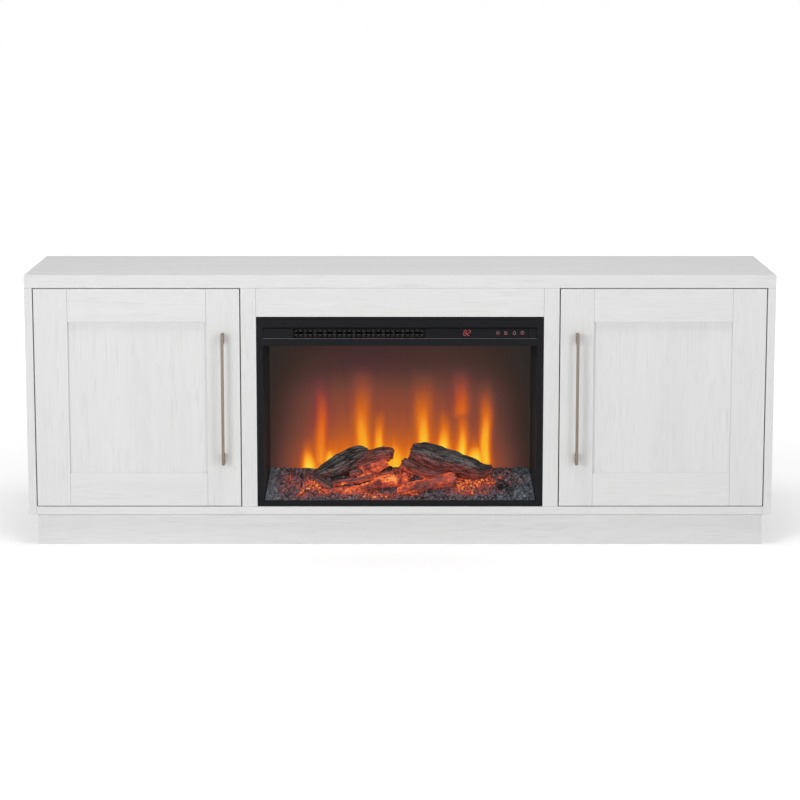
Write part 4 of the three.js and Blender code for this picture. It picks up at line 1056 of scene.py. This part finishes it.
def lined(cracks, x, share, width):
    """1 on broken lines over the bed, fading over a width to either side."""
    across, along = np.broadcast_arrays(x, share * BED_DEPTH)
    nearest = np.full(across.shape, 1.0)
    for corners in cracks:
        for (x0, share0), (x1, share1) in zip(corners, corners[1:]):
            foot = np.array([x0 * MM, share0 * BED_DEPTH])
            step = np.array([x1 * MM, share1 * BED_DEPTH]) - foot
            part = ((across - foot[0]) * step[0] + (along - foot[1]) * step[1]) / (step @ step)
            part = np.clip(part, 0, 1)
            away = np.hypot(across - foot[0] - part * step[0], along - foot[1] - part * step[1])
            nearest = np.minimum(nearest, away)
    return np.exp(-((nearest / width) ** 2))


def bed_heat(x, share):
    """How hot the bed is: soft spots broken up by rough noise."""
    broken = rough_noise(stacked(x / (17 * MM), share * BED_DEPTH / (17 * MM), 0.3), 3, 40)
    return np.clip(spotted(HOT_PLACES, x, share) * (0.85 + 0.45 * broken), 0, 1.1)


def coal_bed():
    """The bed as closed rings in depth and height, one for each step along X: up its front,
    over the coal and down its back. Coal is scattered stones of two sizes that rise to a
    middle and sink at their seams, and their tops carry the most heat. Their seams, the dark
    crack and some hollows are painted dark as shade."""
    across, deep, front = 520, 130, 9
    share = np.linspace(0, 1, deep)
    x_share = np.linspace(-1, 1, across)[:, None]
    x = x_share * (BED_HALF - BED_TAPER * share)
    y = BED_FRONT + BED_DEPTH * share + 0 * x
    place = stacked(x, y, 0.0)
    near, following, number = stones(place / STONE, 3)
    seam = np.clip((following - near) / 0.34, 0, 1)
    fine_near, fine_next, fine_number = stones(place / SMALL_STONE, 19)
    fine_seam = np.clip((fine_next - fine_near) / 0.4, 0, 1)
    edge = np.clip(np.minimum(1 - abs(x_share), np.minimum(share, 1 - share) * 0.4) / 0.02, 0, 1)
    glowing = lined(GLOWING_CRACKS, x, share, CRACK)
    split = lined(DARK_CRACKS, x, share, 2.4 * MM)
    relief = seam**0.6 * (0.4 + number) * 2.6 * MM + fine_seam * (0.3 + fine_number) * 1.3 * MM
    relief = (relief - 2.4 * MM - (glowing + split) * CRACK) * edge
    z = bed_height(x, share) + relief
    hot = bed_heat(x, share)
    ashen = spotted(ASHEN_PLACES, x, share)
    heat = 1.1 * hot * (0.1 + 0.9 * seam) * (0.5 + 0.5 * fine_seam) * (0.62 + 0.6 * number)
    heat = heat + glowing * 0.66
    # Painted shade: the seams between stones, the dark crack and the shaded hollows are darkened;
    # hot places are darkened too
    dip = ((1 - seam) * 0.6 + (1 - fine_seam) * 0.35) * (1 - ashen) + split
    dip = np.maximum(dip, 0.8 * np.clip(hot, 0, 1)) + 0.8 * spotted(SHADED_HOLLOWS, x, share)
    top = stacked(x, y, z)
    rise = np.linspace(0, 1, front)[:-1]
    wall_z = BED_FLOOR + (z[:, :1] - BED_FLOOR) * rise
    wobble = 0.8 * MM * soft_noise(stacked(x[:, :1] / (4 * MM), 0.0, wall_z / (4 * MM)), 5)
    wobble = wobble * np.sin(np.pi * rise) * edge.max()
    front_wall = stacked(x[:, :1] + 0 * wall_z, BED_FRONT + abs(wobble), wall_z)
    back_wall = stacked(x[:, -1:], y[:, -1:], BED_FLOOR)
    rings = np.concatenate([front_wall, top, back_wall], axis=1)
    blank = np.zeros((across, rings.shape[1] - deep - front + 1))
    cool = np.zeros((across, front - 1))
    carried = {
        "glow": np.concatenate([cool, heat, blank], axis=1),
        "dip": np.concatenate([cool + 0.2, np.clip(dip, 0, 1), blank], axis=1),
        "red": np.concatenate([cool, spotted(RED_PLACES, x, share), blank], axis=1),
        "pale": np.concatenate([cool, ashen * (0.4 + 0.6 * fine_number), blank], axis=1),
    }
    values = {key: np.append(grid.ravel(), [0, 0]) for key, grid in carried.items()}
    piece("coal_bed", [skin(rings)], "carcass", COAL, ["ember_bed"], True, values)


coal_bed()


def copies(rings, turns, places):
    """One closed skin of many alike: each copy's rings go through its own turn and are moved
    to its own place. The rings are given once, or once for each copy."""
    rings = np.broadcast_to(rings, (len(places), *np.shape(rings)[-3:]))
    points, *groups = skin(rings[0])
    ends = rings[:, [0, -1]].mean(axis=2)
    shapes = np.concatenate([rings.reshape(len(places), -1, 3), ends], axis=1)
    moved = np.einsum("nij,npj->npi", turns, shapes) + places[:, None]
    starts = np.arange(len(places))[:, None, None] * len(points)
    return moved.reshape(-1, 3), *((group + starts).reshape(-1, group.shape[1]) for group in groups)


def turned_about(axis, angle):
    """The matrices that turn a point about an axis (0 X, 1 Y, 2 Z) by each of some angles."""
    cosine, sine = np.cos(angle), np.sin(angle)
    turn = np.zeros((len(angle), 3, 3))
    first, second = [k for k in range(3) if k != axis]
    turn[:, axis, axis] = 1
    turn[:, first, first] = turn[:, second, second] = cosine
    turn[:, first, second], turn[:, second, first] = -sine, sine
    return turn


def strewn(name, count, seed, rings, around, size, slim, lift, lean, tip_highlight):
    """Loose pieces on the bed. Each is a ball of a few rings whose radius jumps from point to
    point, slimmed along two axes, leant over and turned by scattered numbers. Some are painted
    pale at their high points as a highlight, some are dark all over, all are painted darker low
    down and in the shaded hollows as shade, and where the bed is hot they glow."""
    number = np.arange(count)
    draw = [scattered(stacked(number, k, 5), seed + k) for k in range(8)]
    share = 0.015 + 0.955 * draw[0]
    x = (2 * draw[1] - 1) * (BED_HALF - 4 * MM - BED_TAPER * share)
    long = (size[0] + (size[1] - size[0]) * draw[2] ** 2) * MM
    polar = np.linspace(0.12, np.pi - 0.12, rings)[:, None]
    angle = np.linspace(0, 2 * np.pi, around, endpoint=False)
    point = stacked(number[:, None, None], np.arange(rings)[:, None], np.arange(around))
    level = np.sin(polar)
    ball = stacked(level * np.cos(angle), level * np.sin(angle), np.cos(polar) + 0 * angle)
    ball = ball * (0.72 + 0.5 * scattered(point, 3))[..., None]
    girth = slim[0] + (slim[1] - slim[0]) * draw[3]
    ball = ball * long[:, None, None, None] * stacked(girth, girth * 0.75, 1.0)[:, None, None]
    tilt = lean[0] + (lean[1] - lean[0]) * draw[4]
    turns = turned_about(2, draw[5] * 2 * np.pi) @ turned_about(0, tilt)
    height = bed_height(x, share) + long * lift - 0.6 * MM
    places = stacked(x, BED_FRONT + BED_DEPTH * share, height)
    shell = copies(ball, turns, places)
    points = shell[0].reshape(count, -1, 3)
    high = np.clip((points[..., 2] - places[:, None, 2]) / long[:, None] * 0.8 + 0.5, 0, 1)
    hot = bed_heat(x, share)
    ashen = spotted(ASHEN_PLACES, x, share)
    # Dark pieces at random, with painted shade on their low sides and in the shaded hollows; darker
    # where hot
    dark = 1.15 * (draw[7] < 0.45)[:, None] * (1 - 0.4 * high) + 0.35 * (1 - high)
    dark = np.maximum(dark * (1 - 0.7 * ashen)[:, None], 0.75 * np.clip(hot, 0, 1)[:, None])
    dark = dark + 0.7 * spotted(SHADED_HOLLOWS, x, share)[:, None]
    glow = hot * (0.14 + 1.4 * draw[6] ** 1.35)
    # Painted highlight on the high points of some pieces
    painted_tip_highlights = tip_highlight * high**2 * (np.clip(draw[7] - 0.4, 0, 1) * 1.5)[:, None]
    values = {
        "glow": (np.clip(glow, 0, 1.15)[:, None] * (0.6 + 0.4 * high)).ravel(),
        "dip": np.clip(dark, 0, 1).ravel(),
        "pale": np.clip(painted_tip_highlights + ashen[:, None] * (0.3 + 0.7 * high), 0, 1).ravel(),
        "red": np.repeat(spotted(RED_PLACES, x, share), points.shape[1]),
    }
    y_inside = shell[0][:, 1] > BED_FRONT
    shell[0][:, 1] = np.where(y_inside, shell[0][:, 1], 2 * BED_FRONT - shell[0][:, 1])
    piece(name, [shell], "carcass", COAL, (), False, values)


strewn(
    "loose_coal", count=620, seed=11, rings=5, around=7,
    size=(2.2, 5.2), slim=(1.0, 1.5), lift=0.1, lean=(0.0, 2.2), tip_highlight=0.5,
)
strewn(
    "coal_shards", count=7400, seed=31, rings=3, around=4,
    size=(2.2, 3.6), slim=(0.28, 0.42), lift=0.3, lean=(0.5, 1.3), tip_highlight=1.0,
)


# ---- Logs


def bowed(corners, count):
    """A smooth line through corners: between two of them a cubic, whose slope at a corner is
    half the way from the corner before it to the one after it."""
    corners = np.asarray(corners, float)
    before, after = 2 * corners[:1] - corners[1:2], 2 * corners[-1:] - corners[-2:-1]
    padded = np.concatenate([before, corners, after])
    reach = np.linspace(0, len(corners) - 1, count)
    start = np.minimum(reach.astype(int), len(corners) - 2)
    u = (reach - start)[:, None]
    a, b, c, d = (padded[start + k] for k in range(4))
    return b + 0.5 * u * (c - a + u * (2 * a - 5 * b + 4 * c - d + u * (3 * (b - c) + d - a)))


# Bark: how far apart its grooves are across and along the log (mm), how deep they are, how
# large its cracked plates are (mm) and how deep their cracks, how rough it is (mm), and how
# dark its grooves and cracks are painted, as painted shade
GROOVED = ((5.2, 62), 2.2, (17, 40), 0.7, 0.5, 0.95)
SPLIT = ((4.6, 44), 1.5, (12, 30), 0.7, 0.7, 0.75)
STRINGY = ((5.5, 70), 1.0, (14, 46), 0.6, 0.5, 0.6)
BURNING = ((9.0, 60), 0.8, (17, 48), 0.6, 0.5, 0.45)


def log_rings(path, bark, seed, length_steps, around):
    """A log round a smooth line of X, share of the bed's depth, Z and radius. Lengthwise noise
    folded at nought cuts bark grooves, scattered stones crack it into plates, and both ends
    are broken off: the last rings close in on a ragged face. The grooves and cracks carry
    painted shade and the ridges a painted highlight."""
    line = bowed(path, length_steps)
    middle = stacked(line[:, 0] * MM, BED_FRONT + line[:, 1] * BED_DEPTH, line[:, 2] * MM)
    along = np.gradient(middle, axis=0)
    along /= np.linalg.norm(along, axis=1)[:, None]
    across = np.cross([0, 0, 1.0], along)
    across /= np.linalg.norm(across, axis=1)[:, None]
    up = np.cross(along, across)
    steps = np.linalg.norm(np.diff(middle, axis=0), axis=1)
    reach = np.concatenate([[0], np.cumsum(steps)])[:, None]
    length = reach[-1, 0]
    t = reach / length
    angle = np.linspace(0, 2 * np.pi, around, endpoint=False)
    thick = line[:, 3:] * MM
    knots = 0.07 * np.sin(2 * angle + 5 * t + seed) + 0.05 * np.sin(3 * angle - 9 * t)
    girth = thick.mean()
    round_it = stacked(girth * np.cos(angle), girth * np.sin(angle), reach)
    (spacing, stretch), groove_depth, (plate, plate_length), crack_depth, roughness, shade = bark
    wave = rough_noise(round_it / (np.array([spacing, spacing, stretch]) * MM), 2, seed)
    groove = np.exp(-((wave / 0.17) ** 2))
    ridge = np.clip(abs(wave) * 1.7 - 0.25, 0, 1)
    near, following, _ = stones(round_it / (np.array([plate, plate, plate_length]) * MM), seed + 3)
    crack = 1 - np.clip((following - near) / 0.12, 0, 1)
    grain = rough_noise(round_it / (np.array([2.2, 2.2, 9]) * MM), 2, seed + 9)
    lumps = rough_noise(round_it / (15 * MM), 3, seed + 5)
    fine = np.clip(thick / (9 * MM), 0.35, 1)
    relief = -groove * groove_depth - crack * crack_depth + grain * roughness + lumps * 1.9
    r = thick * (1 + knots) + fine * relief * MM
    ragged = np.minimum(4.2 * MM, girth * 0.25) * rough_noise(
        stacked(np.cos(angle) * 2, np.sin(angle) * 2, seed * 1.0), 2, seed
    )
    near_end = np.clip(1 - np.minimum(t, 1 - t) * 12, 0, 1)
    slide = ragged * np.sign(t - 0.5) * near_end
    offset = np.cos(angle)[:, None] * across[:, None] + np.sin(angle)[:, None] * up[:, None]
    rings = middle[:, None] + r[..., None] * offset + slide[..., None] * along[:, None]
    close = np.array([0.93, 0.8, 0.6, 0.35, 0.12])[:, None]
    caps = []
    for row, side in ((0, -1), (-1, 1)):
        spots = stacked(close * 3 * np.cos(angle), close * 3 * np.sin(angle), seed + row)
        pitted = girth * 0.06 * rough_noise(spots, 3, seed + 1)
        push = slide[row] * close + side * (1 - close) * girth * 0.06 + pitted
        cap = middle[row] + (r[row] * close)[..., None] * offset[row] + push[..., None] * along[row]
        caps.append(cap)
    rings = np.concatenate([caps[0][::-1], rings, caps[1]])
    blank = np.zeros((len(close), around))
    ends = np.concatenate([blank + 1, 0 * r, blank + 1])
    # The grooves and cracks, times the bark's shade, carry painted shade; the ridges a painted
    # highlight
    groove, crack, ridge, upward = (
        np.concatenate([blank, grid, blank])
        for grid in (groove * shade, crack * shade, ridge, offset[..., 2])
    )
    t = np.concatenate([blank, t + 0 * r, blank + 1])
    return rings, groove, crack, ridge, t, upward, ends


def log(name, node, path, bark, seed, material, heat, red, length_steps=110, around=90):
    """A log with its carried numbers. Its heat is given for its top, its underside, its start
    and its finish, and its redness for its top and its underside."""
    rings, groove, crack, ridge, t, up, ends = log_rings(path, bark, seed, length_steps, around)
    top, under, start, finish = heat
    over, below = np.clip(up * 0.5 + 0.5, 0, 1), np.clip(0.5 - up * 0.5, 0, 1)
    patchy = rough_noise(rings / (19 * MM), 3, seed + 21)
    hot = (top * over + under * below) * (start + (finish - start) * t)
    hot = hot * np.clip(0.95 + 0.7 * patchy, 0.1, 1.5) * (1 - 0.6 * groove)
    turned_red = np.clip((0.42 - up) / 0.45, 0, 1)
    reddened = red[0] + (red[1] - red[0]) * turned_red + 0.3 * patchy * max(red)
    values = {
        # Painted shade in the grooves and cracks, with the broken ends darkened by half
        "groove": np.clip(np.maximum(groove, 0.9 * crack) + 0.5 * ends, 0, 1),
        "ridge": ridge,
        "glow": np.clip(hot, 0, 1.1),
        "red": np.clip(reddened, 0, 1),
    }
    for key, grid in values.items():
        values[key] = np.append(grid.ravel(), grid[[0, -1]].mean(axis=1))
    stands_for = [node] if node else ()
    piece(name, [skin(rings)], "carcass", material, stands_for, True, values)


# Lines through the logs: X (mm), share of the bed's depth, Z (mm) and radius (mm)
LEFT_LOG = [
    (-196.0, 0.60, 152.0, 10), (-162.8, 0.61, 164.0, 23), (-134.4, 0.62, 176.0, 27),
    (-110.0, 0.63, 188.5, 26), (-90.0, 0.64, 200.5, 19), (-76.0, 0.64, 207.0, 9),
]
LEFT_BRANCH = [
    (-124.0, 0.60, 178.0, 17), (-92.0, 0.62, 187.5, 19.5), (-56.6, 0.63, 195.0, 19.5),
    (-27.0, 0.64, 198.0, 17.5), (-17.0, 0.64, 197.0, 11),
]
RIGHT_LOG = [
    (27.0, 0.66, 205.0, 18), (56.0, 0.65, 196.0, 29), (94.3, 0.63, 185.5, 31),
    (129.7, 0.61, 176.0, 31), (165.1, 0.60, 165.5, 27), (193.4, 0.60, 160.0, 18),
    (216.0, 0.62, 165.0, 8),
]
log("left_charred_log", "log_left", LEFT_LOG, GROOVED, 51, BARK,
    heat=(0.0, 0.12, 1.0, 0.6), red=(0.06, 0.25), length_steps=190, around=170)
log("left_split_branch", "log_left", LEFT_BRANCH, SPLIT, 55, BARK,
    heat=(0.10, 0.30, 0.8, 1.0), red=(0.8, 1.0), length_steps=130, around=120)
log("right_charred_log", "log_right", RIGHT_LOG, SPLIT, 62, BARK,
    heat=(0.0, 0.20, 1.0, 0.8), red=(0.0, 1.0), length_steps=230, around=190)
SMALL_LOGS = {
    # line, bark, heat of its top, underside, start and finish, redness above and below
    "crooked_stick": (
        [(-158.0, 0.40, 133.5, 7.5), (-126.9, 0.40, 139.8, 8.5), (-103.4, 0.40, 142.0, 8.5),
         (-74.0, 0.41, 147.8, 7), (-44.7, 0.42, 153.5, 6.5), (-17.0, 0.44, 160.5, 5)],
        STRINGY, (0.16, 0.75, 0.8, 1.0), (0.55, 1.0)),
    "dark_stub": (
        [(-118.5, 0.44, 156.5, 7.5), (-103.0, 0.45, 159.6, 8), (-88.4, 0.46, 162.4, 7.5)],
        STRINGY, (0.05, 0.35, 1.0, 1.0), (0.3, 0.8)),
    "upper_ember_log": (
        [(-101.0, 0.50, 156.0, 11), (-74.2, 0.52, 165.0, 13.5), (-50.6, 0.54, 173.8, 13.5),
         (-31.0, 0.56, 180.0, 10)],
        BURNING, (0.48, 0.62, 1.0, 1.0), (1.0, 1.0)),
    "facing_stub": (
        [(-8.0, 0.35, 163.3, 8.5), (-7.0, 0.42, 162.8, 9), (-5.9, 0.50, 161.8, 8.5)],
        STRINGY, (0.1, 0.45, 1.0, 1.0), (0.6, 0.9)),
    "front_ember_log": (
        [(-181.0, 0.24, 117.2, 6), (-150.0, 0.24, 119.5, 9.5), (-114.8, 0.24, 119.5, 11),
         (-79.7, 0.25, 127.5, 12), (-44.5, 0.27, 138.0, 13), (2.0, 0.30, 143.5, 13.5)],
        BURNING, (0.93, 0.28, 0.85, 1.0), (1.0, 1.0)),
    "right_ember_log": (
        [(-4.0, 0.18, 121.5, 8.5), (35.1, 0.22, 131.2, 13.5), (70.3, 0.26, 138.0, 15.5),
         (99.7, 0.30, 143.0, 17), (128.0, 0.34, 146.5, 15.5)],
        BURNING, (0.80, 0.46, 1.2, 0.42), (1.0, 1.0)),
    "knot": (
        [(10.5, 0.26, 135.0, 7), (12.0, 0.32, 147.5, 7.5), (12.9, 0.37, 159.0, 7)],
        BURNING, (0.5, 0.55, 1.1, 0.7), (1.0, 1.0)),
    "middle_charred_log": (
        [(5.0, 0.45, 183.5, 14), (25.8, 0.44, 173.2, 15.5), (49.4, 0.43, 162.5, 13.5),
         (72.9, 0.43, 157.0, 10), (101.0, 0.44, 155.5, 5)],
        STRINGY, (0.06, 0.38, 1.0, 0.8), (0.6, 1.0)),
    "left_end_piece": (
        [(-194.0, 0.42, 143.0, 7), (-177.0, 0.38, 135.0, 7.5), (-160.0, 0.33, 126.5, 7)],
        STRINGY, (0.0, 0.3, 1.0, 1.0), (0.0, 0.4)),
}
for seed, (name, (path, bark, heat, red)) in enumerate(SMALL_LOGS.items(), 70):
    log(name, None, path, bark, seed, STICK, heat, red)


# ---- Flame screen

FLAMES_AT = [
    # middle in x, height of the foot and of the tip, half width at each (all mm), heat at each,
    # and how late the flame cools on its way up
    (-187, 175, 350, 13, 12, 0.80, 0.30, 2.8),
    (-89, 195, 370, 13, 24, 0.90, 0.35, 1.7),
    (-49, 200, 300, 10, 12, 0.95, 0.40, 1.7),
    (55, 205, 360, 12, 26, 0.95, 0.35, 1.8),
    (104, 195, 300, 15, 11, 1.00, 0.45, 1.3),
    (148, 185, 280, 13, 12, 1.00, 0.60, 1.3),
    (145, 290, 370, 17, 19, 0.72, 0.35, 1.6),
    (203, 170, 340, 13, 17, 0.95, 0.35, 2.5),
    (-218, 150, 200, 18, 10, 1.00, 0.70, 2.2),
    (-166, 165, 200, 9, 8, 0.95, 0.70, 3.0),
    (-12, 150, 215, 14, 7, 0.95, 0.75, 3.0),
    (180, 165, 210, 24, 14, 1.00, 0.70, 3.0),
]
RED_HAZE = [
    # middle in x, height, reach in x and reach in height (all mm), strength
    (-187.0, 300.0, 26, 80, 0.8),
    (140.0, 330.0, 24, 50, 0.6),
    (-85.0, 420.0, 90, 45, 0.45),
]

# The glow behind the flames: the middle and half of its width, the height from which it fades
# over the logs and how slowly, and the haze's upper edge and how soft that is. How far a flame
# sways and over what height, and how far it fades above its tip and below its foot (mm)
GLOW_MIDDLE, GLOW_HALF = -8 * MM, 258 * MM
GLOW_FOOT, GLOW_FADE = 165 * MM, 72 * MM
HAZE_TOP, HAZE_EDGE = 360 * MM, 25 * MM
SWAY, SWAY_RISE = 1.6 * MM, 23 * MM
TIP_FADE, FOOT_FADE = 40, 22


def flame_heat(x, z):
    """The screen's heat. Behind the flames it is a glow that is strongest at the logs, a haze
    up to two thirds of the height, and both fade to the sides. From a flame's foot to its tip
    its half width changes evenly and its heat falls by a power of the way up. Across it the
    heat falls from its own to the glow behind, steeply at its edge, and past its tip it fades
    out."""
    sideways = np.exp(-(abs((x - GLOW_MIDDLE) / GLOW_HALF) ** 4.8))
    rise = np.clip((z - GLOW_FOOT) / GLOW_FADE, 0, None)
    haze = 0.33 / (1 + np.exp((z - HAZE_TOP) / HAZE_EDGE))
    glow = 0.02 + sideways * (0.08 + 0.44 * np.exp(-(rise**1.5)) + haze)
    heat = glow
    for middle, foot, tip, foot_half, tip_half, foot_heat, tip_heat, late in FLAMES_AT:
        up = np.clip((z / MM - foot) / (tip - foot), 0, 1)
        half = (foot_half + (tip_half - foot_half) * up) * MM
        own = foot_heat + (tip_heat - foot_heat) * up**late
        sway = SWAY * np.sin(z / SWAY_RISE + middle)
        body = np.exp(-(abs((x - middle * MM - sway) / half) ** 2.6))
        past = np.clip((z / MM - tip) / TIP_FADE, 0, 1)
        rising = np.clip(1 - (foot - z / MM) / FOOT_FADE, 0, 1)
        share = body * rising * (1 - past) ** 2
        heat = np.maximum(heat, glow + (own - glow) * share)
    return np.clip(heat, 0, 1)


def flame_redness(x, z):
    """Which parts of the screen glow redder: soft ovals at some middles, with their reaches
    and strengths."""
    total = 0 * x + 0 * z
    for middle, height, wide, tall, strength in RED_HAZE:
        oval = np.exp(-(((x / MM - middle) / wide) ** 2) - ((z / MM - height) / tall) ** 2)
        total = np.maximum(total, strength * oval)
    return total


def flame_screen():
    """The screen as closed rings in depth and height, one for each step along X: fine steps
    up its front, and one wall behind."""
    low, high = (np.array(corner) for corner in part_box("flame_screen"))
    across, tall = 400, 205
    x = np.linspace(low[0], high[0], across)[:, None]
    z = np.linspace(low[2], high[2], tall)
    back = stacked(x, high[1], np.array([high[2], low[2]]))
    rings = np.concatenate([stacked(x, low[1], z), back], axis=1)
    values = {"glow": flame_heat(x, z), "red": flame_redness(x, z)}
    blank = np.zeros((across, 2))
    for key, grid in values.items():
        values[key] = np.append(np.concatenate([grid, blank], axis=1).ravel(), [0, 0])
    film = [skin(rings)]
    piece("flame_film", film, "carcass", FLAMES, ["flame_screen"], False, values)


flame_screen()


# ---- Works behind the screen and the grille


eased("flame_rotor", "rotor_foils", FOIL, 0.15 * MM)
eased("light_strip", "light_strip_board", BOARD_GREEN, 0.1 * MM)
eased("control_board", "control_circuit", BOARD_GREEN, 0.1 * MM)
eased("heating_element", "element_bars", CERAMIC, 0.2 * MM)
eased("fan_wheel", "drum_fan", FAN_GREY, 0.1 * MM)

LAMP = np.array([(-2.2, -9.4, 0), (2.2, -5.0, 0.4)]) * MM
strip_low, strip_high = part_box("light_strip")
lamps_x = np.linspace(strip_low[0], strip_high[0], 19)[:-1] + (strip_high[0] - strip_low[0]) / 36
lamps = [block(*(LAMP + (x, 0, strip_high[2])), 0.15 * MM) for x in lamps_x]
piece("strip_lamps", lamps, "carcass", WARM_LAMP)

# Radius and height (mm) up the gearmotor from its far end, and along the gland round its bore
MOTOR_PROFILE = [
    (0.2, 0), (15.6, 0), (16.6, 0.6), (17, 1.6), (17, 8), (16.7, 8.3), (16.7, 9.3), (17, 9.6),
    (17, 22.4), (16.4, 23.6), (15.4, 24), (8.4, 24), (7.2, 24.4), (7, 25), (7, 29.4), (6.6, 30),
    (3.4, 30), (3.35, 24.6), (0.2, 24.5),
]
GLAND_PROFILE = [
    (3.6, 19.5), (3.6, 0), (8, 0), (8, 3.8), (11, 3.8), (11.5, 4.3), (11.5, 6.0), (11, 6.5),
    (8.1, 6.8), (7.7, 8.4), (7.2, 8.5), (7.1, 9.7), (7.5, 9.8), (7.2, 11.4), (6.7, 11.5),
    (6.6, 12.7), (7.0, 12.8), (6.7, 14.4), (6.2, 14.5), (6.1, 15.7), (6.5, 15.8), (6.2, 17.6),
    (5.8, 19.5),
]
motor_low, motor_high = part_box("rotor_motor")
motor_foot = (motor_high[0], (motor_low[1] + motor_high[1]) / 2, (motor_low[2] + motor_high[2]) / 2)
motor = turned(np.array(MOTOR_PROFILE) * MM, motor_foot, (-1, 0, 0), 56)
piece("rotor_gearmotor", [motor], "carcass", ZINC, ["rotor_motor"])
gland_low, gland_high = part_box("cord_gland")
gland_foot = ((gland_low[0] + gland_high[0]) / 2, gland_low[1], (gland_low[2] + gland_high[2]) / 2)
gland = turned(np.array(GLAND_PROFILE) * MM, gland_foot, (0, 1, 0), 48, bored=True)
piece("ribbed_cord_gland", [gland], "carcass", RUBBER, ["cord_gland"])


# ---- Floor, light and camera


def pale_floor():
    """White paper. What the camera sees of it is lighter than the lamps make it, and more so
    away from the stand, where they reach less: it meets the white beyond it and still takes
    the stand's shadow."""
    finish = Finish("pale_floor")
    paper = finish.noise(finish.place(), 3, detail=3)
    color = finish.blend(paper, (0.88, 0.88, 0.88), (0.9, 0.9, 0.9))
    lit_paper = finish.node("ShaderNodeBsdfDiffuse", None, {"Color": color})
    lift = finish.node("ShaderNodeEmission", None, {"Strength": FLOOR_LIFT})
    none = finish.node("ShaderNodeEmission", None, {"Strength": 0.0})
    length = {"operation": "LENGTH"}
    away = finish.node("ShaderNodeVectorMath", length, {0: finish.place()}, "Value")
    share = finish.watched() * (away.between(0.9, 2.6) * (1 - LIFT_NEAR) + LIFT_NEAR)
    extra = finish.node("ShaderNodeMixShader", None, {0: share, 1: none, 2: lift})
    return finish.end(finish.node("ShaderNodeAddShader", None, {0: lit_paper, 1: extra}))


def studio():
    """The room: soft light all round, which the camera sees as plain white."""
    finish = Finish("studio", bpy.data.worlds)
    soft, white = (
        finish.node("ShaderNodeBackground", None, {"Color": (1, 1, 1, 1), "Strength": strength})
        for strength in (AMBIENT, 1.0)
    )
    mixed = finish.node("ShaderNodeMixShader", None, {0: finish.watched(), 1: soft, 2: white})
    return finish.end(mixed, "ShaderNodeOutputWorld")


# The soft light's strength, the most that the floor is lifted, and its share of that near the
# stand
AMBIENT = 0.42
FLOOR_LIFT = 0.70
LIFT_NEAR = 0.5
FLOOR = pale_floor()
bpy.context.scene.world = studio()

# The floor: rings of points round the stand, just under it, and one face inside the first
FLOOR_REACHES = [0.9, 2.2, 5.0, 12.0, 30.0]
FLOOR_Z = -0.2 * MM
angle = np.linspace(0, 2 * np.pi, 96, endpoint=False)
reach = np.array(FLOOR_REACHES)[:, None]
rings = stacked(reach * np.cos(angle), reach * np.sin(angle), FLOOR_Z)
index = np.arange(rings.size // 3).reshape(rings.shape[:2])
beside = np.roll(index, -1, axis=1)
floor_faces = stacked(index[:-1], index[1:], beside[1:], beside[:-1]).reshape(-1, 4).tolist()
floor_mesh = bpy.data.meshes.new("floor")
floor_mesh.from_pydata(rings.reshape(-1, 3), [], floor_faces + [index[0].tolist()])
floor_mesh.materials.append(FLOOR)
floor = bpy.data.objects.new("floor", floor_mesh)
bpy.context.scene.collection.objects.link(floor)

# Where the lamps face, and how far off they are
LAMPS_AIM = Vector((0, -0.18, 0.35))
LAMPS_AWAY = 3.5


def softbox(name, azimuth, elevation, power, size=0.8):
    """A square lamp at an azimuth from the front and an elevation, in degrees, that faces the
    middle of the stand."""
    turn, climb = math.radians(azimuth), math.radians(elevation)
    level = math.cos(climb)
    toward = Vector((math.sin(turn) * level, -math.cos(turn) * level, math.sin(climb)))
    lamp = bpy.data.lights.new(name, "AREA")
    lamp.energy = power
    lamp.size = size
    lamp_object = bpy.data.objects.new(name, lamp)
    lamp_object.location = LAMPS_AIM + toward * LAMPS_AWAY
    lamp_object.rotation_euler = toward.to_track_quat("Z", "Y").to_euler()
    bpy.context.scene.collection.objects.link(lamp_object)


softbox("left_softbox", -29.5, 12, 26.5)
softbox("right_softbox", 29.5, 12, 16)
softbox("overhead_softbox", 0, 72, 33, size=1.2)

# The camera's place, how far down it looks (degrees), and its focal length and sensor (mm)
CAMERA_PLACE, CAMERA_DOWN = (0, -6.1175, 1.34), 9.52
FOCAL_LENGTH, SENSOR_WIDTH = 117.15, 36
lens = bpy.data.cameras.new("camera")
lens.lens = FOCAL_LENGTH
lens.sensor_width = SENSOR_WIDTH
camera = bpy.data.objects.new("camera", lens)
camera.location = CAMERA_PLACE
camera.rotation_euler = (math.radians(90 - CAMERA_DOWN), 0, 0)
bpy.context.scene.collection.objects.link(camera)
bpy.context.scene.camera = camera

bpy.context.scene.view_settings.view_transform = "Standard"
